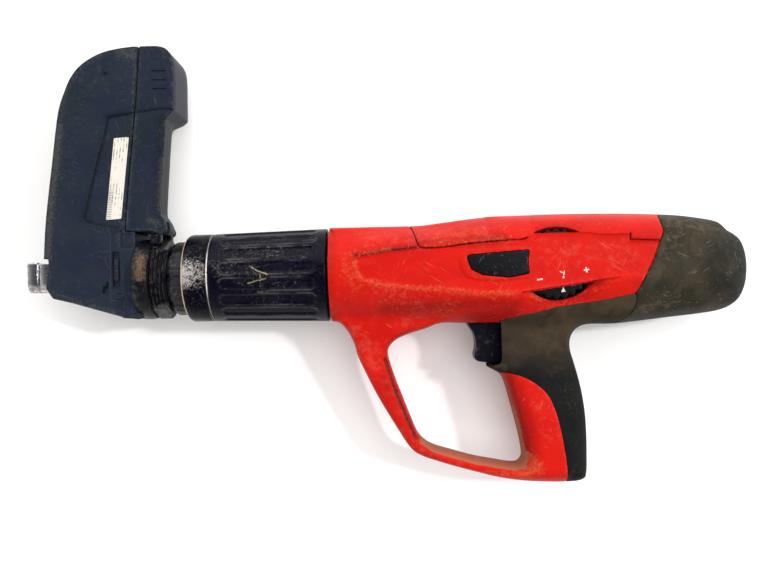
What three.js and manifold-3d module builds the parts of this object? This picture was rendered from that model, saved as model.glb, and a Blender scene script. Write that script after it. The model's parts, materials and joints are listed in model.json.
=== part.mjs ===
// Powder-actuated nail gun with a nail magazine, lying on its side.
// Millimetres. The tool frame has X along the barrel axis from the nose tip to the rear,
// Y towards the magazine (the grip is at -Y) and Z up, with the barrel axis at Y = Z = 0.
// The whole tool is shifted at the end, so that the origin is the bottom centre of its box.
import * as THREE from 'three'
import { mergeVertices } from 'three/addons/utils/BufferGeometryUtils.js'
import Module from 'manifold-3d'

const wasm = await Module()
wasm.setup()

// ---- Driving dimensions ---------------------------------------------------------------
const GAP = 0.35 // clearance between touching pieces

const MAGAZINE_HALF = 18 // half thickness of the magazine
const CHANNEL_HALF = 4.6 // half width of the nail channel
const LEAN = 0.13 // sideways lean of the nail channel, mm per mm of height
const NOSE_TUBE = { r: 8, bore: 4.2, end: 74 }
const HUB = { start: 76, end: 96.5, r: 26.5, bore: 16.8 }
const COVER_PIVOT = { x: 89, y: 36, r: 5, pin: 2 }

const COLLAR = { start: 97, end: 114, r: 24.2, bore: 15.4 }
const RING = { start: 107.5, end: 124.7, r: 28.8, bore: 24.8 }
const SLEEVE = { start: 125, end: 199.5, front: 28.9, back: 30.7, bore: 22.6 }
const FLUTES = 26 // longitudinal flutes round the sleeve
const GUIDE = { start: 77, end: 296, r: 14.8, bore: 10.4, neck: 5.3, step: 172 }
const PISTON = { tip: 98, shank: 4, head: 9.9, start: 284, end: 295.5 }

const HOUSING = { start: 201, round: 218, r: 30.8, half: 32.5, wall: 3.2 }
const CAP = { end: 472.6, half: 33 }
const WHEEL = { x: 344.3, y: 3, r: 22.5, low: 21, high: 29, axle: 3 }
const BUTTON = { low: 29.3, high: 33, step: 319.5, overWheel: 31.4, stem: { x: 303, y: 4, r: 3.2 } }
const GRIP_HALF = 16
const HOOP_HALF = 11
const STRIP = { x: 329.3, w: 9, half: 5, wall: 1.8 } // straight part of the cartridge strip way
const TRIGGER_PIVOT = { x: 305, y: -27, r: 1.6 }
const TRIGGER_HALF = 7
const SEAR_PIVOT = { x: 336, y: -21, r: 1.5 }
const LEVER_PIVOT = { x: 312, y: -19, r: 1.4 }
const BREECH = { start: 337, end: 353, r: 13.6 }
const FIRING_PIN = { tip: 338.6, neck: 358.5, end: 386, tipR: 1.9, r: 5 }

const LOOKS = {
  red: { color: 0xd8362a, roughness: 0.42, metalness: 0 },
  cap: { color: 0x4b443a, roughness: 0.8, metalness: 0 },
  charcoal: { color: 0x2d3030, roughness: 0.75, metalness: 0 },
  magazine: { color: 0x303744, roughness: 0.55, metalness: 0 },
  cover: { color: 0x363a48, roughness: 0.55, metalness: 0 },
  black: { color: 0x1a1c20, roughness: 0.5, metalness: 0 },
  sleeve: { color: 0x232330, roughness: 0.3, metalness: 0 },
  ring: { color: 0x3a3a3c, roughness: 0.4, metalness: 0.8 },
  steel: { color: 0xb4b6ba, roughness: 0.3, metalness: 1 },
  dark_steel: { color: 0x55575c, roughness: 0.4, metalness: 1 },
  brass: { color: 0x9a7440, roughness: 0.45, metalness: 1 },
  rubber: { color: 0x202020, roughness: 0.9, metalness: 0 },
  label: { color: 0xe9e9e6, roughness: 0.5, metalness: 0 }
}

// ---- Solids ---------------------------------------------------------------------------
// A closed geometry as a manifold solid, with its faces turned outwards.
function solid (geometry) {
  const bare = new THREE.BufferGeometry()
  bare.setAttribute('position', geometry.getAttribute('position'))
  bare.setIndex(geometry.getIndex())
  const merged = mergeVertices(bare, 1e-4)
  const positions = merged.getAttribute('position').array
  const index = merged.getIndex().array
  const corners = []
  let volume = 0
  const at = [new THREE.Vector3(), new THREE.Vector3(), new THREE.Vector3()]
  for (let i = 0; i < index.length; i += 3) {
    const tri = [index[i], index[i + 1], index[i + 2]]
    if (tri[0] === tri[1] || tri[1] === tri[2] || tri[2] === tri[0]) continue
    tri.forEach((v, k) => at[k].fromArray(positions, 3 * v))
    volume += at[0].dot(at[1].clone().cross(at[2]))
    corners.push(...tri)
  }
  if (volume < 0) {
    for (let i = 0; i < corners.length; i += 3) {
      const first = corners[i]
      corners[i] = corners[i + 1]
      corners[i + 1] = first
    }
  }
  return new wasm.Manifold(new wasm.Mesh({
    numProp: 3,
    vertProperties: new Float32Array(positions),
    triVerts: new Uint32Array(corners)
  }))
}

function geometryOf (manifold) {
  const mesh = manifold.getMesh()
  const geometry = new THREE.BufferGeometry()
  geometry.setAttribute('position', new THREE.BufferAttribute(mesh.vertProperties, 3))
  geometry.setIndex(new THREE.BufferAttribute(mesh.triVerts, 1))
  geometry.computeVertexNormals()
  return geometry
}

// An outline whose corners are [x, y] or, where rounded, [x, y, radius].
function outline (corners, steps = 3) {
  const points = []
  const count = corners.length
  corners.forEach(([x, y, radius = 0], i) => {
    const here = new THREE.Vector2(x, y)
    const before = new THREE.Vector2(...corners[(i + count - 1) % count].slice(0, 2))
    const after = new THREE.Vector2(...corners[(i + 1) % count].slice(0, 2))
    const back = before.sub(here)
    const ahead = after.sub(here)
    const half = Math.abs(back.angleTo(ahead)) / 2
    const reach = Math.min(radius / Math.tan(half), 0.49 * back.length(), 0.49 * ahead.length())
    if (reach < 0.05) {
      points.push(here)
      return
    }
    const start = back.setLength(reach).add(here)
    const end = ahead.setLength(reach).add(here)
    for (let k = 0; k <= steps; k++) {
      const t = k / steps
      const rise = start.clone().multiplyScalar((1 - t) * (1 - t))
      rise.addScaledVector(here, 2 * t * (1 - t))
      points.push(rise.addScaledVector(end, t * t))
    }
  })
  return new THREE.Shape(points)
}

function extruded (corners, depth) {
  return new THREE.ExtrudeGeometry(outline(corners), { depth, bevelEnabled: false })
}

// An outline of [x, y] corners made into a plate between two heights.
function plate (corners, low, high) {
  return solid(extruded(corners, high - low).translate(0, 0, low))
}

// A bar along X whose section is symmetric: its corners are [y, half width] from bottom to top.
function bar (corners, start, end) {
  const mirrored = corners.map(([y, z, radius]) => [y, -z, radius]).reverse()
  const geometry = extruded([...corners, ...mirrored], end - start)
  geometry.applyMatrix4(new THREE.Matrix4().set(0, 0, 1, start, 1, 0, 0, 0, 0, 1, 0, 0, 0, 0, 0, 1))
  return solid(geometry)
}

// A symmetric outline seen from above the tool, with corners [x, half width], cut through in Y.
function topView (corners, low, high) {
  const mirrored = corners.map(([x, z, radius]) => [x, -z, radius]).reverse()
  const geometry = extruded([...corners, ...mirrored], high - low)
  geometry.rotateX(Math.PI / 2)
  return solid(geometry.translate(0, high, 0))
}

// A closed profile of [x, radius] points turned round the barrel axis.
function turned (profile, segments = 24) {
  const points = profile.map(([x, r]) => new THREE.Vector2(r, x))
  points.push(points[0].clone())
  const geometry = new THREE.LatheGeometry(points, segments)
  geometry.rotateZ(-Math.PI / 2)
  return solid(geometry)
}

const tube = (start, end, outer, inner, segments) =>
  turned([[start, inner], [start, outer], [end, outer], [end, inner]], segments)

function block (low, high) {
  const size = high.map((value, i) => value - low[i])
  const geometry = new THREE.BoxGeometry(...size)
  geometry.translate(...low.map((value, i) => value + size[i] / 2))
  return solid(geometry)
}

// A round bar between two points.
function rod (from, to, radius, segments = 16) {
  const start = new THREE.Vector3(...from)
  const along = new THREE.Vector3(...to).sub(start)
  const geometry = new THREE.CylinderGeometry(radius, radius, along.length(), segments)
  const turn = new THREE.Quaternion()
  turn.setFromUnitVectors(new THREE.Vector3(0, 1, 0), along.clone().normalize())
  geometry.applyQuaternion(turn)
  geometry.translate(...start.addScaledVector(along, 0.5).toArray())
  return solid(geometry)
}

const zRod = (x, y, low, high, radius, segments) => rod([x, y, low], [x, y, high], radius, segments)

class Helix extends THREE.Curve {
  constructor (from, to, radius, turns) {
    super()
    this.from = new THREE.Vector3(...from)
    this.along = new THREE.Vector3(...to).sub(this.from)
    this.side = new THREE.Vector3(0, 0, 1).cross(this.along).normalize()
    if (this.side.length() < 0.5) this.side.set(1, 0, 0)
    this.up = this.along.clone().normalize().cross(this.side)
    this.radius = radius
    this.turns = turns
  }

  getPoint (t) {
    const angle = 2 * Math.PI * this.turns * t
    return this.from.clone().addScaledVector(this.along, t)
      .addScaledVector(this.side, this.radius * Math.cos(angle))
      .addScaledVector(this.up, this.radius * Math.sin(angle))
  }
}

// A coil spring: a square wire along a helix.
function coil (from, to, radius, wire, turns, stepsPerTurn = 9) {
  const half = wire / 2
  const section = new THREE.Shape([[-half, -half], [half, -half], [half, half], [-half, half]]
    .map(([x, y]) => new THREE.Vector2(x, y)))
  return solid(new THREE.ExtrudeGeometry(section, {
    steps: Math.round(turns * stepsPerTurn),
    extrudePath: new Helix(from, to, radius, turns)
  }))
}

const cut = (rest, away) => rest.subtract(away)

const tool = new THREE.Group()

function part (name, manifold, look) {
  const mesh = new THREE.Mesh(geometryOf(manifold), new THREE.MeshStandardMaterial(LOOKS[look]))
  mesh.name = name
  tool.add(mesh)
}

// ---- Nose and magazine ----------------------------------------------------------------
const channelLeft = y => 27 + LEAN * (y - 16)

function nosepiece () {
  const tip = block([2.9, -7.4, -9], [18, 12.8, 9])
  const stem = rod([17, 0, 0], [NOSE_TUBE.end, 0, 0], NOSE_TUBE.r, 20)
  const groove = block([9.4, -8, 8.2], [11.4, 14, 10])
  const bore = rod([0, 0, 0], [80, 0, 0], NOSE_TUBE.bore, 16)
  const nailSlot = block([28, 0, -2.6], [71, 10, 2.6])
  part('nosepiece', tip.add(stem).subtract(groove).subtract(bore).subtract(nailSlot), 'steel')
}

function nailChannel (right) {
  const top = 136
  return plate([[channelLeft(9), 9], right[0], right[1], [channelLeft(top), top]],
    -CHANNEL_HALF, CHANNEL_HALF)
}

function magazineBody () {
  const body = plate([
    [17.6, 14.5], [19.4, 38], [24.4, 75.5], [29.8, 112], [33, 125, 12], [41.5, 138, 16], [56, 146, 20],
    [79.3, 150, 6], [82, 149.5], [79.1, 116.5], [75, 80], [70.8, 43], [70, 30.5], [75.6, 30.5],
    [75.6, -24.6], [66.5, -24.2], [35.5, -14.4], [22.5, -11, 4], [18.4, -4.5], [20.6, 14.5]
  ], -MAGAZINE_HALF, MAGAZINE_HALF)
  const tipRoom = block([0, -9, -20], [18.4, 14.8, 20])
  const stemBore = rod([10, 0, 0], [80, 0, 0], NOSE_TUBE.r + GAP, 20)
  const channel = nailChannel([[71, 9], [87, 136]])
  const labelSeat = plate(labelOutline(0.4), MAGAZINE_HALF - 0.7, MAGAZINE_HALF + 2)
  const lockSlot = block([62.2, -5.6, MAGAZINE_HALF - 2.5], [66.4, 18.2, MAGAZINE_HALF + 1])
  part('magazine_body', [tipRoom, stemBore, channel, labelSeat, lockSlot]
    .reduce(cut, body), 'magazine')
}

function labelOutline (grow) {
  const g = grow
  return [[58.4 - g, 38.5 - g], [68.2 + g, 39.2 - g], [74.4 + g, 91.5 + g], [64.8 - g, 91 + g]]
}

function magazineCover () {
  const { x, y, r, pin } = COVER_PIVOT
  const spine = plate([
    [83, 150], [96, 149.6, 5], [101, 146, 4], [103.2, 139, 4], [103.4, 131], [102.8, 106.5], [98.4, 103],
    [94.6, 60], [93, 40], [93.5, 33, 4], [87, 30.8, 2], [71.4, 30.8], [72, 43], [76.2, 80], [80.2, 116.5]
  ], -MAGAZINE_HALF, MAGAZINE_HALF)
  const channel = nailChannel([[84, 9], [94, 136]]).subtract(block([0, 0, -9], [110, 40, 9]))
  const pinHole = zRod(x, y, -20, 20, pin + GAP)
  const earRoom = r + 0.6
  const upperEar = zRod(x, y, 12.2, 20, earRoom, 24)
    .add(block([x - earRoom, 20, 12.2], [x + earRoom, y, 20]))
  const lowerEar = zRod(x, y, -20, -12.2, earRoom, 24)
    .add(block([x - earRoom, 20, -20], [x + earRoom, y, -12.2]))
  const latchSeat = block([87.6, 116, MAGAZINE_HALF - 2], [100.4, 139.5, MAGAZINE_HALF + 1])
  part('magazine_cover', [channel, pinHole, upperEar, lowerEar, latchSeat]
    .reduce(cut, spine), 'cover')
  part('cover_hinge_pin', zRod(x, y, -17.4, 17.4, pin), 'steel')
  part('cover_latch', block([88, 120, MAGAZINE_HALF - 1.6], [100, 139, MAGAZINE_HALF + 0.6]), 'cover')
}

function swivelHub () {
  const { start, end, r, bore } = HUB
  const valley = r - 2
  const profile = [[start, NOSE_TUBE.r + 1], [start, r]]
  for (const groove of [81, 85, 89, 93]) {
    profile.push([groove - 1, r], [groove - 0.6, valley], [groove + 0.6, valley], [groove + 1, r])
  }
  profile.push([end, r - 1.5], [end, bore], [GUIDE.start - GAP, bore], [GUIDE.start - GAP, NOSE_TUBE.r + 1])
  const { x, y, pin } = COVER_PIVOT
  const ear = (low, high) => plate([
    [x - 4, 15], [x + 4, 15], [x + COVER_PIVOT.r, y + 2, 4], [x + 3, y + 5, 3],
    [x - 3, y + 5, 3], [x - COVER_PIVOT.r, y + 2, 4]
  ], low, high)
  const core = rod([start, 0, 0], [end + 1, 0, 0], bore, 28)
  const ears = ear(12.8, 17.4).add(ear(-17.4, -12.8)).subtract(core)
  const pinHole = zRod(x, y, -20, 20, pin + 0.31)
  part('swivel_hub', turned(profile, 20).add(ears).subtract(pinHole), 'black')
}

function magazineTrim () {
  part('rating_label', plate(labelOutline(0), MAGAZINE_HALF - 0.35, MAGAZINE_HALF + 0.15), 'label')
  part('magazine_lock', block([62.6, -1, MAGAZINE_HALF - 2.1], [66, 13.5, MAGAZINE_HALF + 0.4]), 'black')
}

function nailFollower () {
  const low = 17
  const high = 27
  part('nail_follower', plate([
    [channelLeft(low) + 1, low], [68.4, low], [68.4, high], [channelLeft(high) + 1, high]
  ], -CHANNEL_HALF + 0.5, CHANNEL_HALF - 0.5), 'steel')
  const foot = 40 + LEAN * (high - 16)
  const top = 134
  part('follower_spring', coil([foot, high + 1, 0], [foot + LEAN * (top - high), top, 0], 3.2, 0.9, 11, 7),
    'dark_steel')
}

// ---- Coupling, ring and sleeve --------------------------------------------------------
function couplingCollar () {
  const { start, end, r, bore } = COLLAR
  const body = turned([[start, bore], [start, r - 3], [start + 2.5, r], [end, r], [end, bore]])
  const notches = Array.from({ length: 8 }, (_, i) => {
    const angle = (i + 0.5) * Math.PI / 4
    const centre = [Math.cos(angle) * r, Math.sin(angle) * r]
    return rod([start - 1, ...centre], [start + 3, ...centre], 3, 8)
  })
  part('coupling_collar', notches.reduce(cut, body), 'black')
}

function frontRing () {
  const { start, end, r, bore } = RING
  part('front_ring', turned([
    [start, bore], [start, r - 3], [start + 0.9, r - 0.9], [start + 3, r], [end, r], [end, bore]
  ], 32), 'ring')
}

function ribbedSleeve () {
  const { start, end, front, back, bore } = SLEEVE
  const body = turned([[start, RING.bore], [start, front], [end, back], [end, bore], [start + 18, bore],
    [start + 18, RING.bore]], 40)
  const flutes = Array.from({ length: FLUTES }, (_, i) => {
    const angle = 2 * Math.PI * i / FLUTES
    const at = radius => [Math.cos(angle) * radius, Math.sin(angle) * radius]
    return rod([start + 8, ...at(front + 1.2)], [end - 8, ...at(back + 1.2)], 2.2, 6)
  })
  part('ribbed_sleeve', flutes.reduce(cut, body), 'sleeve')
}

function pistonUnit () {
  const { start, end, r, bore, neck, step } = GUIDE
  part('piston_guide', turned([
    [start, neck], [start, 16.4], [start + 6, 16.4], [start + 6, r], [126, r], [126, 20.5], [129, 20.5],
    [129, r], [end, r], [end, bore], [step, bore], [step, neck]
  ]), 'dark_steel')
  const { tip, shank, head } = PISTON
  part('piston', turned([
    [tip, 0], [tip, shank], [PISTON.start, shank], [PISTON.start, head], [287.6, head], [287.6, head - 1.6],
    [291.4, head - 1.6], [291.4, head], [PISTON.end, head], [PISTON.end, 0]
  ], 20), 'steel')
  part('piston_ring', tube(288, 291, head + 0.15, head - 1.25, 20), 'dark_steel')
  part('rubber_buffer', tube(step + GAP, step + 14, bore - GAP, shank + 0.6, 20), 'rubber')
}

// ---- Housing --------------------------------------------------------------------------
const HOUSING_OUTLINE = [
  [201, 30.6], [250, 30.6], [258.5, 15.2], [286.6, 16.7], [325, 18.8], [331, 28], [332, 36.2],
  [372, 36.3], [410, 34.6], [411.8, 26], [408.4, 14.8], [401.3, -2.1], [392.4, -16.6], [369.2, -21.2],
  [344.1, -24.4], [320.2, -29.1], [300, -32.8], [270, -33.5], [252, -31.6], [201, -30]
]

// The hollow inside it, open at the top under the cover and at the rear into the cap.
const HOUSING_HOLLOW = [
  [205, 26.8], [247.5, 26.8], [254.5, 15.6], [262, 15.6], [262, 40], [322, 40], [322, 24],
  [334.5, 24], [336, 32.6], [372, 32.8], [430, 30], [430, -13.2], [389.8, -13.2], [368.6, -17.6],
  [343.4, -20.8], [319.5, -25.5], [300, -29], [270, -29.8], [252, -28], [205, -26.4]
]

// Half width of the housing against height, from the bottom to the top.
const SECTION = [[-42, 19], [-20, 32.5, 6], [22, 32.5, 6], [31, 27, 5], [38, 17]]
const inward = (section, wall) => section.map(([y, z, radius]) => [y - Math.sign(y) * wall / 3, z - wall, radius])

const SCREWS = [
  { name: 'housing_screw_1', x: 219, y: 22 },
  { name: 'housing_screw_2', x: 219, y: -23 },
  { name: 'housing_screw_3', x: 283, y: -24.5 },
  { name: 'housing_screw_4', x: 386, y: 24 },
  { name: 'housing_screw_5', x: 372, y: -15 }
]

const buttonOutline = g => [
  [287.4 - g, 9.4 + g, 2], [327 + g, 11.9 + g, 1], [325.8 + g, 4.5], [326.6 + g, -2.5 - g, 1],
  [314.3, -4.7 - g], [297.5, -2.7 - g, 3], [290.6 - g, 0.9 - g, 2]
]

const SHELL_GAP = 0.15 // each shell stops this far from the parting plane

// The part of the shells round the front bearing, on the +Z or the -Z side.
function frontRound (sign) {
  const side = sign > 0 ? [SHELL_GAP, 40] : [-40, -SHELL_GAP]
  const { start, round, r } = HOUSING
  return tube(start, round, r, 26.6, 32).intersect(block([200, -40, side[0]], [220, 40, side[1]]))
}

function housingShells () {
  const { half, wall } = HOUSING
  for (const sign of [1, -1]) {
    const low = sign > 0 ? SHELL_GAP : -half
    const high = sign > 0 ? half : -SHELL_GAP
    const slab = plate(HOUSING_OUTLINE, low, high).intersect(bar(SECTION, 190, 430))
    const hollow = plate(HOUSING_HOLLOW, -half, half).intersect(bar(inward(SECTION, wall), 190, 430))
    const nose = block([200, -40, -40], [216, 40, 40])
    let shell = slab.subtract(hollow).subtract(nose).add(frontRound(sign))
    for (const { x, y } of SCREWS) {
      shell = shell.add(zRod(x, y, sign > 0 ? 2 : -half + 3, sign > 0 ? half - 2 : -2, 5.4, 12))
    }
    const pinBoss = zRod(TRIGGER_PIVOT.x, TRIGGER_PIVOT.y, sign > 0 ? 12 : -26, sign > 0 ? 26 : -12, 3.2, 12)
    shell = shell.add(pinBoss)
    shell = shell.subtract(zRod(TRIGGER_PIVOT.x, TRIGGER_PIVOT.y, -15, 15, TRIGGER_PIVOT.r + 0.31))
    for (const { x, y } of SCREWS) {
      shell = shell.subtract(zRod(x, y, -half - 1, -half + 5.4, 3.6, 12))
        .subtract(zRod(x, y, -half + 4, 22, 1.8, 12))
    }
    shell = shell.subtract(tube(HOUSING.start - 2, 217, 26.3, 5, 28))
    shell = shell.subtract(block([288, -40, -7.6], [318, -20, 7.6]))
    shell = shell.subtract(block([300, -32, -12], [310, -20, 12]))
    shell = shell.subtract(stripExit())
    shell = shell.subtract(block([319, -36, -8.2], [342, -18, 8.2]))
    if (sign > 0) shell = cutControls(shell)
    part(sign > 0 ? 'housing_left' : 'housing_right', shell, 'red')
  }
}

function cutControls (shell) {
  const { x, y, r, low, high } = WHEEL
  const wheelRoom = zRod(x, y, low - 0.5, high + 0.5, r + 0.6, 32)
  const upperWindow = block([330, 22.2, low - 0.5], [360, 31, 40])
  const lowerWindow = plate([[325.5, -13.2], [371, -7.2], [362, -19.5, 8], [346.8, -22.4, 10],
    [333, -19.5, 8]], low - 0.5, 40)
  const buttonWindow = plate(buttonOutline(0.5), BUTTON.low - 1, 40)
  return [wheelRoom, upperWindow, lowerWindow, buttonWindow].reduce(cut, shell)
}

function screws () {
  const { half } = HOUSING
  for (const { name, x, y } of SCREWS) {
    const head = zRod(x, y, -half + 2.6, -half + 5, 3.1, 12)
    part(name, head.add(zRod(x, y, -half + 4, 20, 1.45, 10)), 'dark_steel')
  }
}

function stripExit () {
  const { x, w, half } = STRIP
  return block([x - w / 2, 20, -half], [x + w / 2, 40, half])
}

function topCover () {
  const shell = plate([
    [250.6, 30.4], [259, 15.6], [286.6, 17.1], [324.6, 19.2], [330.6, 28.3], [331.5, 36.2],
    [300, 35.3], [280, 32.7], [262, 30.6]
  ], -HOUSING.half, HOUSING.half).intersect(bar(SECTION, 190, 430))
  const hollow = plate([
    [258, 27], [262, 10], [286, 10], [321, 10], [326.5, 29], [327.5, 32.6], [300, 31.6], [281, 29]
  ], -HOUSING.half, HOUSING.half).intersect(bar(inward(SECTION, HOUSING.wall), 190, 430))
  part('top_cover', shell.subtract(hollow).subtract(stripExit()), 'red')
}

const CAP_SECTION = [[-42, 18], [-24, 33, 8], [20, 33, 8], [31, 24, 5], [37, 16]]

function rearCap () {
  const wall = 4
  const shell = plate([
    [410.4, 34.6], [430, 33.2], [443.6, 31.2], [454, 29.4, 4], [459, 24.6, 3], [466, 20.4, 4], [470.6, 13, 8],
    [CAP.end, 0, 10], [471.4, -13, 10], [465, -25.5, 10], [455, -30.4, 10], [433, -32.6], [400, -35.6],
    [389, -33.6], [392.6, -30.6], [395.4, -24.1], [396.4, -17], [393, -16.7], [401.8, -2.1], [408.9, 14.8],
    [412.2, 26]
  ], -CAP.half, CAP.half)
  const hollow = plate([
    [404, 22], [430, 28], [444, 26.8], [462, 14], [466, 0], [463, -14], [452, -26], [418, -28], [406, -24],
    [380, 0]
  ], -CAP.half, CAP.half)
  const fromTop = [[360, CAP.half], [440, CAP.half, 14], [463, 27, 10], [CAP.end, 17, 6]]
  const fromTopInside = [[360, CAP.half - wall], [438, CAP.half - wall, 12], [460, 22, 8], [468, 12, 4]]
  const outer = shell.intersect(bar(CAP_SECTION, 350, 480)).intersect(topView(fromTop, -50, 50))
  const inner = hollow.intersect(bar(inward(CAP_SECTION, wall), 350, 480))
    .intersect(topView(fromTopInside, -50, 50))
  part('rear_cap', outer.subtract(inner), 'cap')
}

// ---- Handle ---------------------------------------------------------------------------
const stripX = y => 333.5 - 0.155 * (y + 30) // centre of the leaning cartridge strip way

function stripWay () {
  const side = 5.2
  return plate([
    [stripX(-150) - side, -150], [stripX(-150) + side, -150], [stripX(-28) + side, -28],
    [stripX(-28) - side, -28]
  ], -STRIP.half, STRIP.half)
}

function triggerGuard () {
  const hoop = plate([
    [205.4, -31.2], [211, -37, 4], [215.6, -47], [217.3, -54], [222.7, -66], [237, -93.7], [248.6, -113],
    [253.5, -118.8, 4], [266.6, -124], [291.6, -131.6], [322, -138.6], [322, -127], [292.7, -122.2],
    [266, -114, 3], [257, -107.5, 5], [251.3, -94.8], [241.7, -68.9], [237.6, -54.8, 5], [238.5, -46, 4],
    [252.6, -39.3], [270, -34.2], [252, -32], [218, -31.2]
  ], -HOOP_HALF, HOOP_HALF)
  part('trigger_guard', hoop, 'red')
}

function grip () {
  const frontPiece = plate([
    [322.4, -138.7], [329, -139.7], [351.4, -140.4], [350.6, -127.5], [349, -114.9], [346.8, -102.5],
    [343.4, -89.9], [339.2, -81.4], [333, -75], [325, -70], [317.6, -67.3], [309.4, -66.8], [312.6, -72],
    [317.2, -87], [321.5, -104], [324.4, -120], [322.4, -126.6]
  ], -GRIP_HALF, GRIP_HALF)
  part('grip_front', frontPiece.subtract(stripWay()), 'red')
  const overmould = plate([
    [351.9, -140.4], [361, -139.6, 3], [366, -138.4, 3], [367, -121], [367, -108.8], [366.6, -96.2],
    [365, -83.5], [362.7, -72.1], [359.3, -59.5], [357.4, -50], [358, -43.6, 4], [362, -39.2, 4],
    [368.5, -36.8], [388.2, -34.4], [391.6, -31], [394.5, -24.3], [395.5, -17.6], [369.2, -21.7],
    [344.1, -24.9], [320.2, -29.6], [313.2, -31.2], [313.2, -56], [311.4, -61], [305.2, -62.2], [309, -66.3],
    [317.8, -66.8], [325.3, -69.5], [333.5, -74.5], [339.6, -81], [343.9, -89.8], [347.3, -102.4],
    [349.5, -114.9], [351.1, -127.5]
  ], -GRIP_HALF, GRIP_HALF)
  const triggerRoom = block([309, -61.4, -TRIGGER_HALF - 0.8], [321, -28, TRIGGER_HALF + 0.8])
  const searRoom = block([319, -36, -8.2], [342, -18, 8.2])
  part('grip_overmould', overmould.subtract(stripWay()).subtract(triggerRoom).subtract(searRoom),
    'charcoal')
}

// ---- Trigger group --------------------------------------------------------------------
function triggerGroup () {
  const { x, y, r } = TRIGGER_PIVOT
  const blade = plate([
    [301, -24.6, 2], [309.5, -24.2, 3], [311, -36], [311.8, -47.6], [311.8, -56], [310.4, -60.2, 2],
    [297.5, -59.6, 3], [293.8, -57], [295.2, -47, 6], [293.8, -39.5, 4], [290.4, -34.2]
  ], -TRIGGER_HALF, TRIGGER_HALF)
  part('trigger', blade.subtract(zRod(x, y, -9, 9, r + 0.31)), 'black')
  part('trigger_pin', zRod(x, y, -13, 13, r, 12), 'steel')
  part('trigger_spring', coil([x, y, 7.6], [x, y, 11.4], 2.9, 0.7, 3, 9), 'dark_steel')
  const { x: sx, y: sy, r: sr } = SEAR_PIVOT
  const sear = plate([
    [sx - 4, sy + 3, 2], [sx + 3.4, sy + 3, 2], [sx + 3.4, sy - 3, 2], [sx - 6, sy - 5], [sx - 13, sy - 9],
    [sx - 13.6, sy - 6.4]
  ], -2.5, 2.5)
  part('sear_lever', sear.subtract(zRod(sx, sy, -4, 4, sr + 0.31, 12)), 'dark_steel')
  part('sear_pin', zRod(sx, sy, -7.6, 7.6, sr, 12), 'steel')
}

// ---- Firing mechanism -----------------------------------------------------------------
function firingGroup () {
  part('front_bearing', tube(200.6, 205, 26, GUIDE.r + GAP, 28), 'dark_steel')
  part('return_spring', coil([130.6, 0, 0], [199.4, 0, 0], 18.6, 1.7, 7, 11), 'dark_steel')
  part('cartridge_chamber', tube(311, 321.8, 13.8, 4, 24), 'steel')
  const { x, w, half, wall } = STRIP
  const outer = block([x - w / 2 - wall, -16.5, -half - wall], [x + w / 2 + wall, 14.6, half + wall])
  const inner = block([x - w / 2, -20, -half], [x + w / 2, 16, half])
  const shotHole = rod([310, 0, 0], [345, 0, 0], 3.4, 14)
  part('cartridge_guide', outer.subtract(inner).subtract(shotHole), 'brass')
  const { start, end, r } = BREECH
  part('breech_block', tube(start, end, r, FIRING_PIN.tipR + GAP, 24), 'steel')
  part('receiver_tube', tube(end + GAP, 401.6, 9, 6.2, 24), 'dark_steel')
  const { tip, neck, end: back, tipR, r: body } = FIRING_PIN
  part('firing_pin', turned([[tip, 0], [tip, tipR], [neck, tipR], [neck, body], [back, body], [back, 0]], 16),
    'steel')
  part('firing_spring', coil([back + 1, 0, 0], [401, 0, 0], 3.8, 0.9, 5, 9), 'dark_steel')
  part('spring_seat', turned([[402, 0], [402, 9], [406, 9], [406, 0]], 24), 'dark_steel')
}

function transportLever () {
  const { x, y, r } = LEVER_PIVOT
  const arm = plate([
    [x - 3, y - 3, 1.5], [x + 3, y - 3, 1.5], [x + 12, y + 11], [x + 9, y + 13], [x - 3, y + 3, 1.5]
  ], 15, 17.4)
  part('transport_lever', arm.subtract(zRod(x, y, 14, 19, r + 0.31, 12)), 'dark_steel')
  part('lever_pin', zRod(x, y, 9, 18.4, r, 12), 'steel')
}

// ---- Controls -------------------------------------------------------------------------
function controls () {
  const { x, y, r, low, high, axle } = WHEEL
  const teeth = 24
  let wheel = zRod(x, y, low, high, r, 36)
  for (let i = 0; i < teeth; i++) {
    const angle = 2 * Math.PI * i / teeth
    const at = [x + Math.cos(angle) * (r + 0.5), y + Math.sin(angle) * (r + 0.5)]
    wheel = wheel.subtract(zRod(...at, low - 1, high + 1, 1.4, 6))
  }
  part('power_wheel', wheel.subtract(zRod(x, y, low - 1, high - 2, axle + 0.31)), 'black')
  part('wheel_axle', zRod(x, y, 14, high - 2.4, axle), 'steel')
  const { stem } = BUTTON
  const wheelRoom = block([BUTTON.step, -20, BUTTON.low - 1], [340, 30, BUTTON.overWheel])
  const button = plate(buttonOutline(0), BUTTON.low, BUTTON.high).subtract(wheelRoom)
  part('release_button', button.add(zRod(stem.x, stem.y, 21, BUTTON.low + 1, stem.r)), 'black')
  part('button_spring', coil([stem.x, stem.y, 15.6], [stem.x, stem.y, 28.6], 4.4, 0.8, 5, 9), 'dark_steel')
}

nosepiece()
magazineBody()
magazineCover()
swivelHub()
magazineTrim()
nailFollower()
couplingCollar()
frontRing()
ribbedSleeve()
pistonUnit()
housingShells()
screws()
topCover()
rearCap()
triggerGuard()
grip()
triggerGroup()
firingGroup()
transportLever()
controls()

// The origin is the bottom centre of the tool's box.
const box = new THREE.Box3().setFromObject(tool)
const middle = box.getCenter(new THREE.Vector3())
tool.position.set(-middle.x, -middle.y, -box.min.z)

const root = new THREE.Group()
root.add(tool)
export default root
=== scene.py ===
"""Looks of the powder-actuated nail gun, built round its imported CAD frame.

Shapes are drawn in the tool frame, in mm: X along the barrel axis from the nose to the rear, Y from the
grip towards the magazine, Z up through the side that faces the camera. row() turns them into the row frame.
"""

import json
import math

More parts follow.
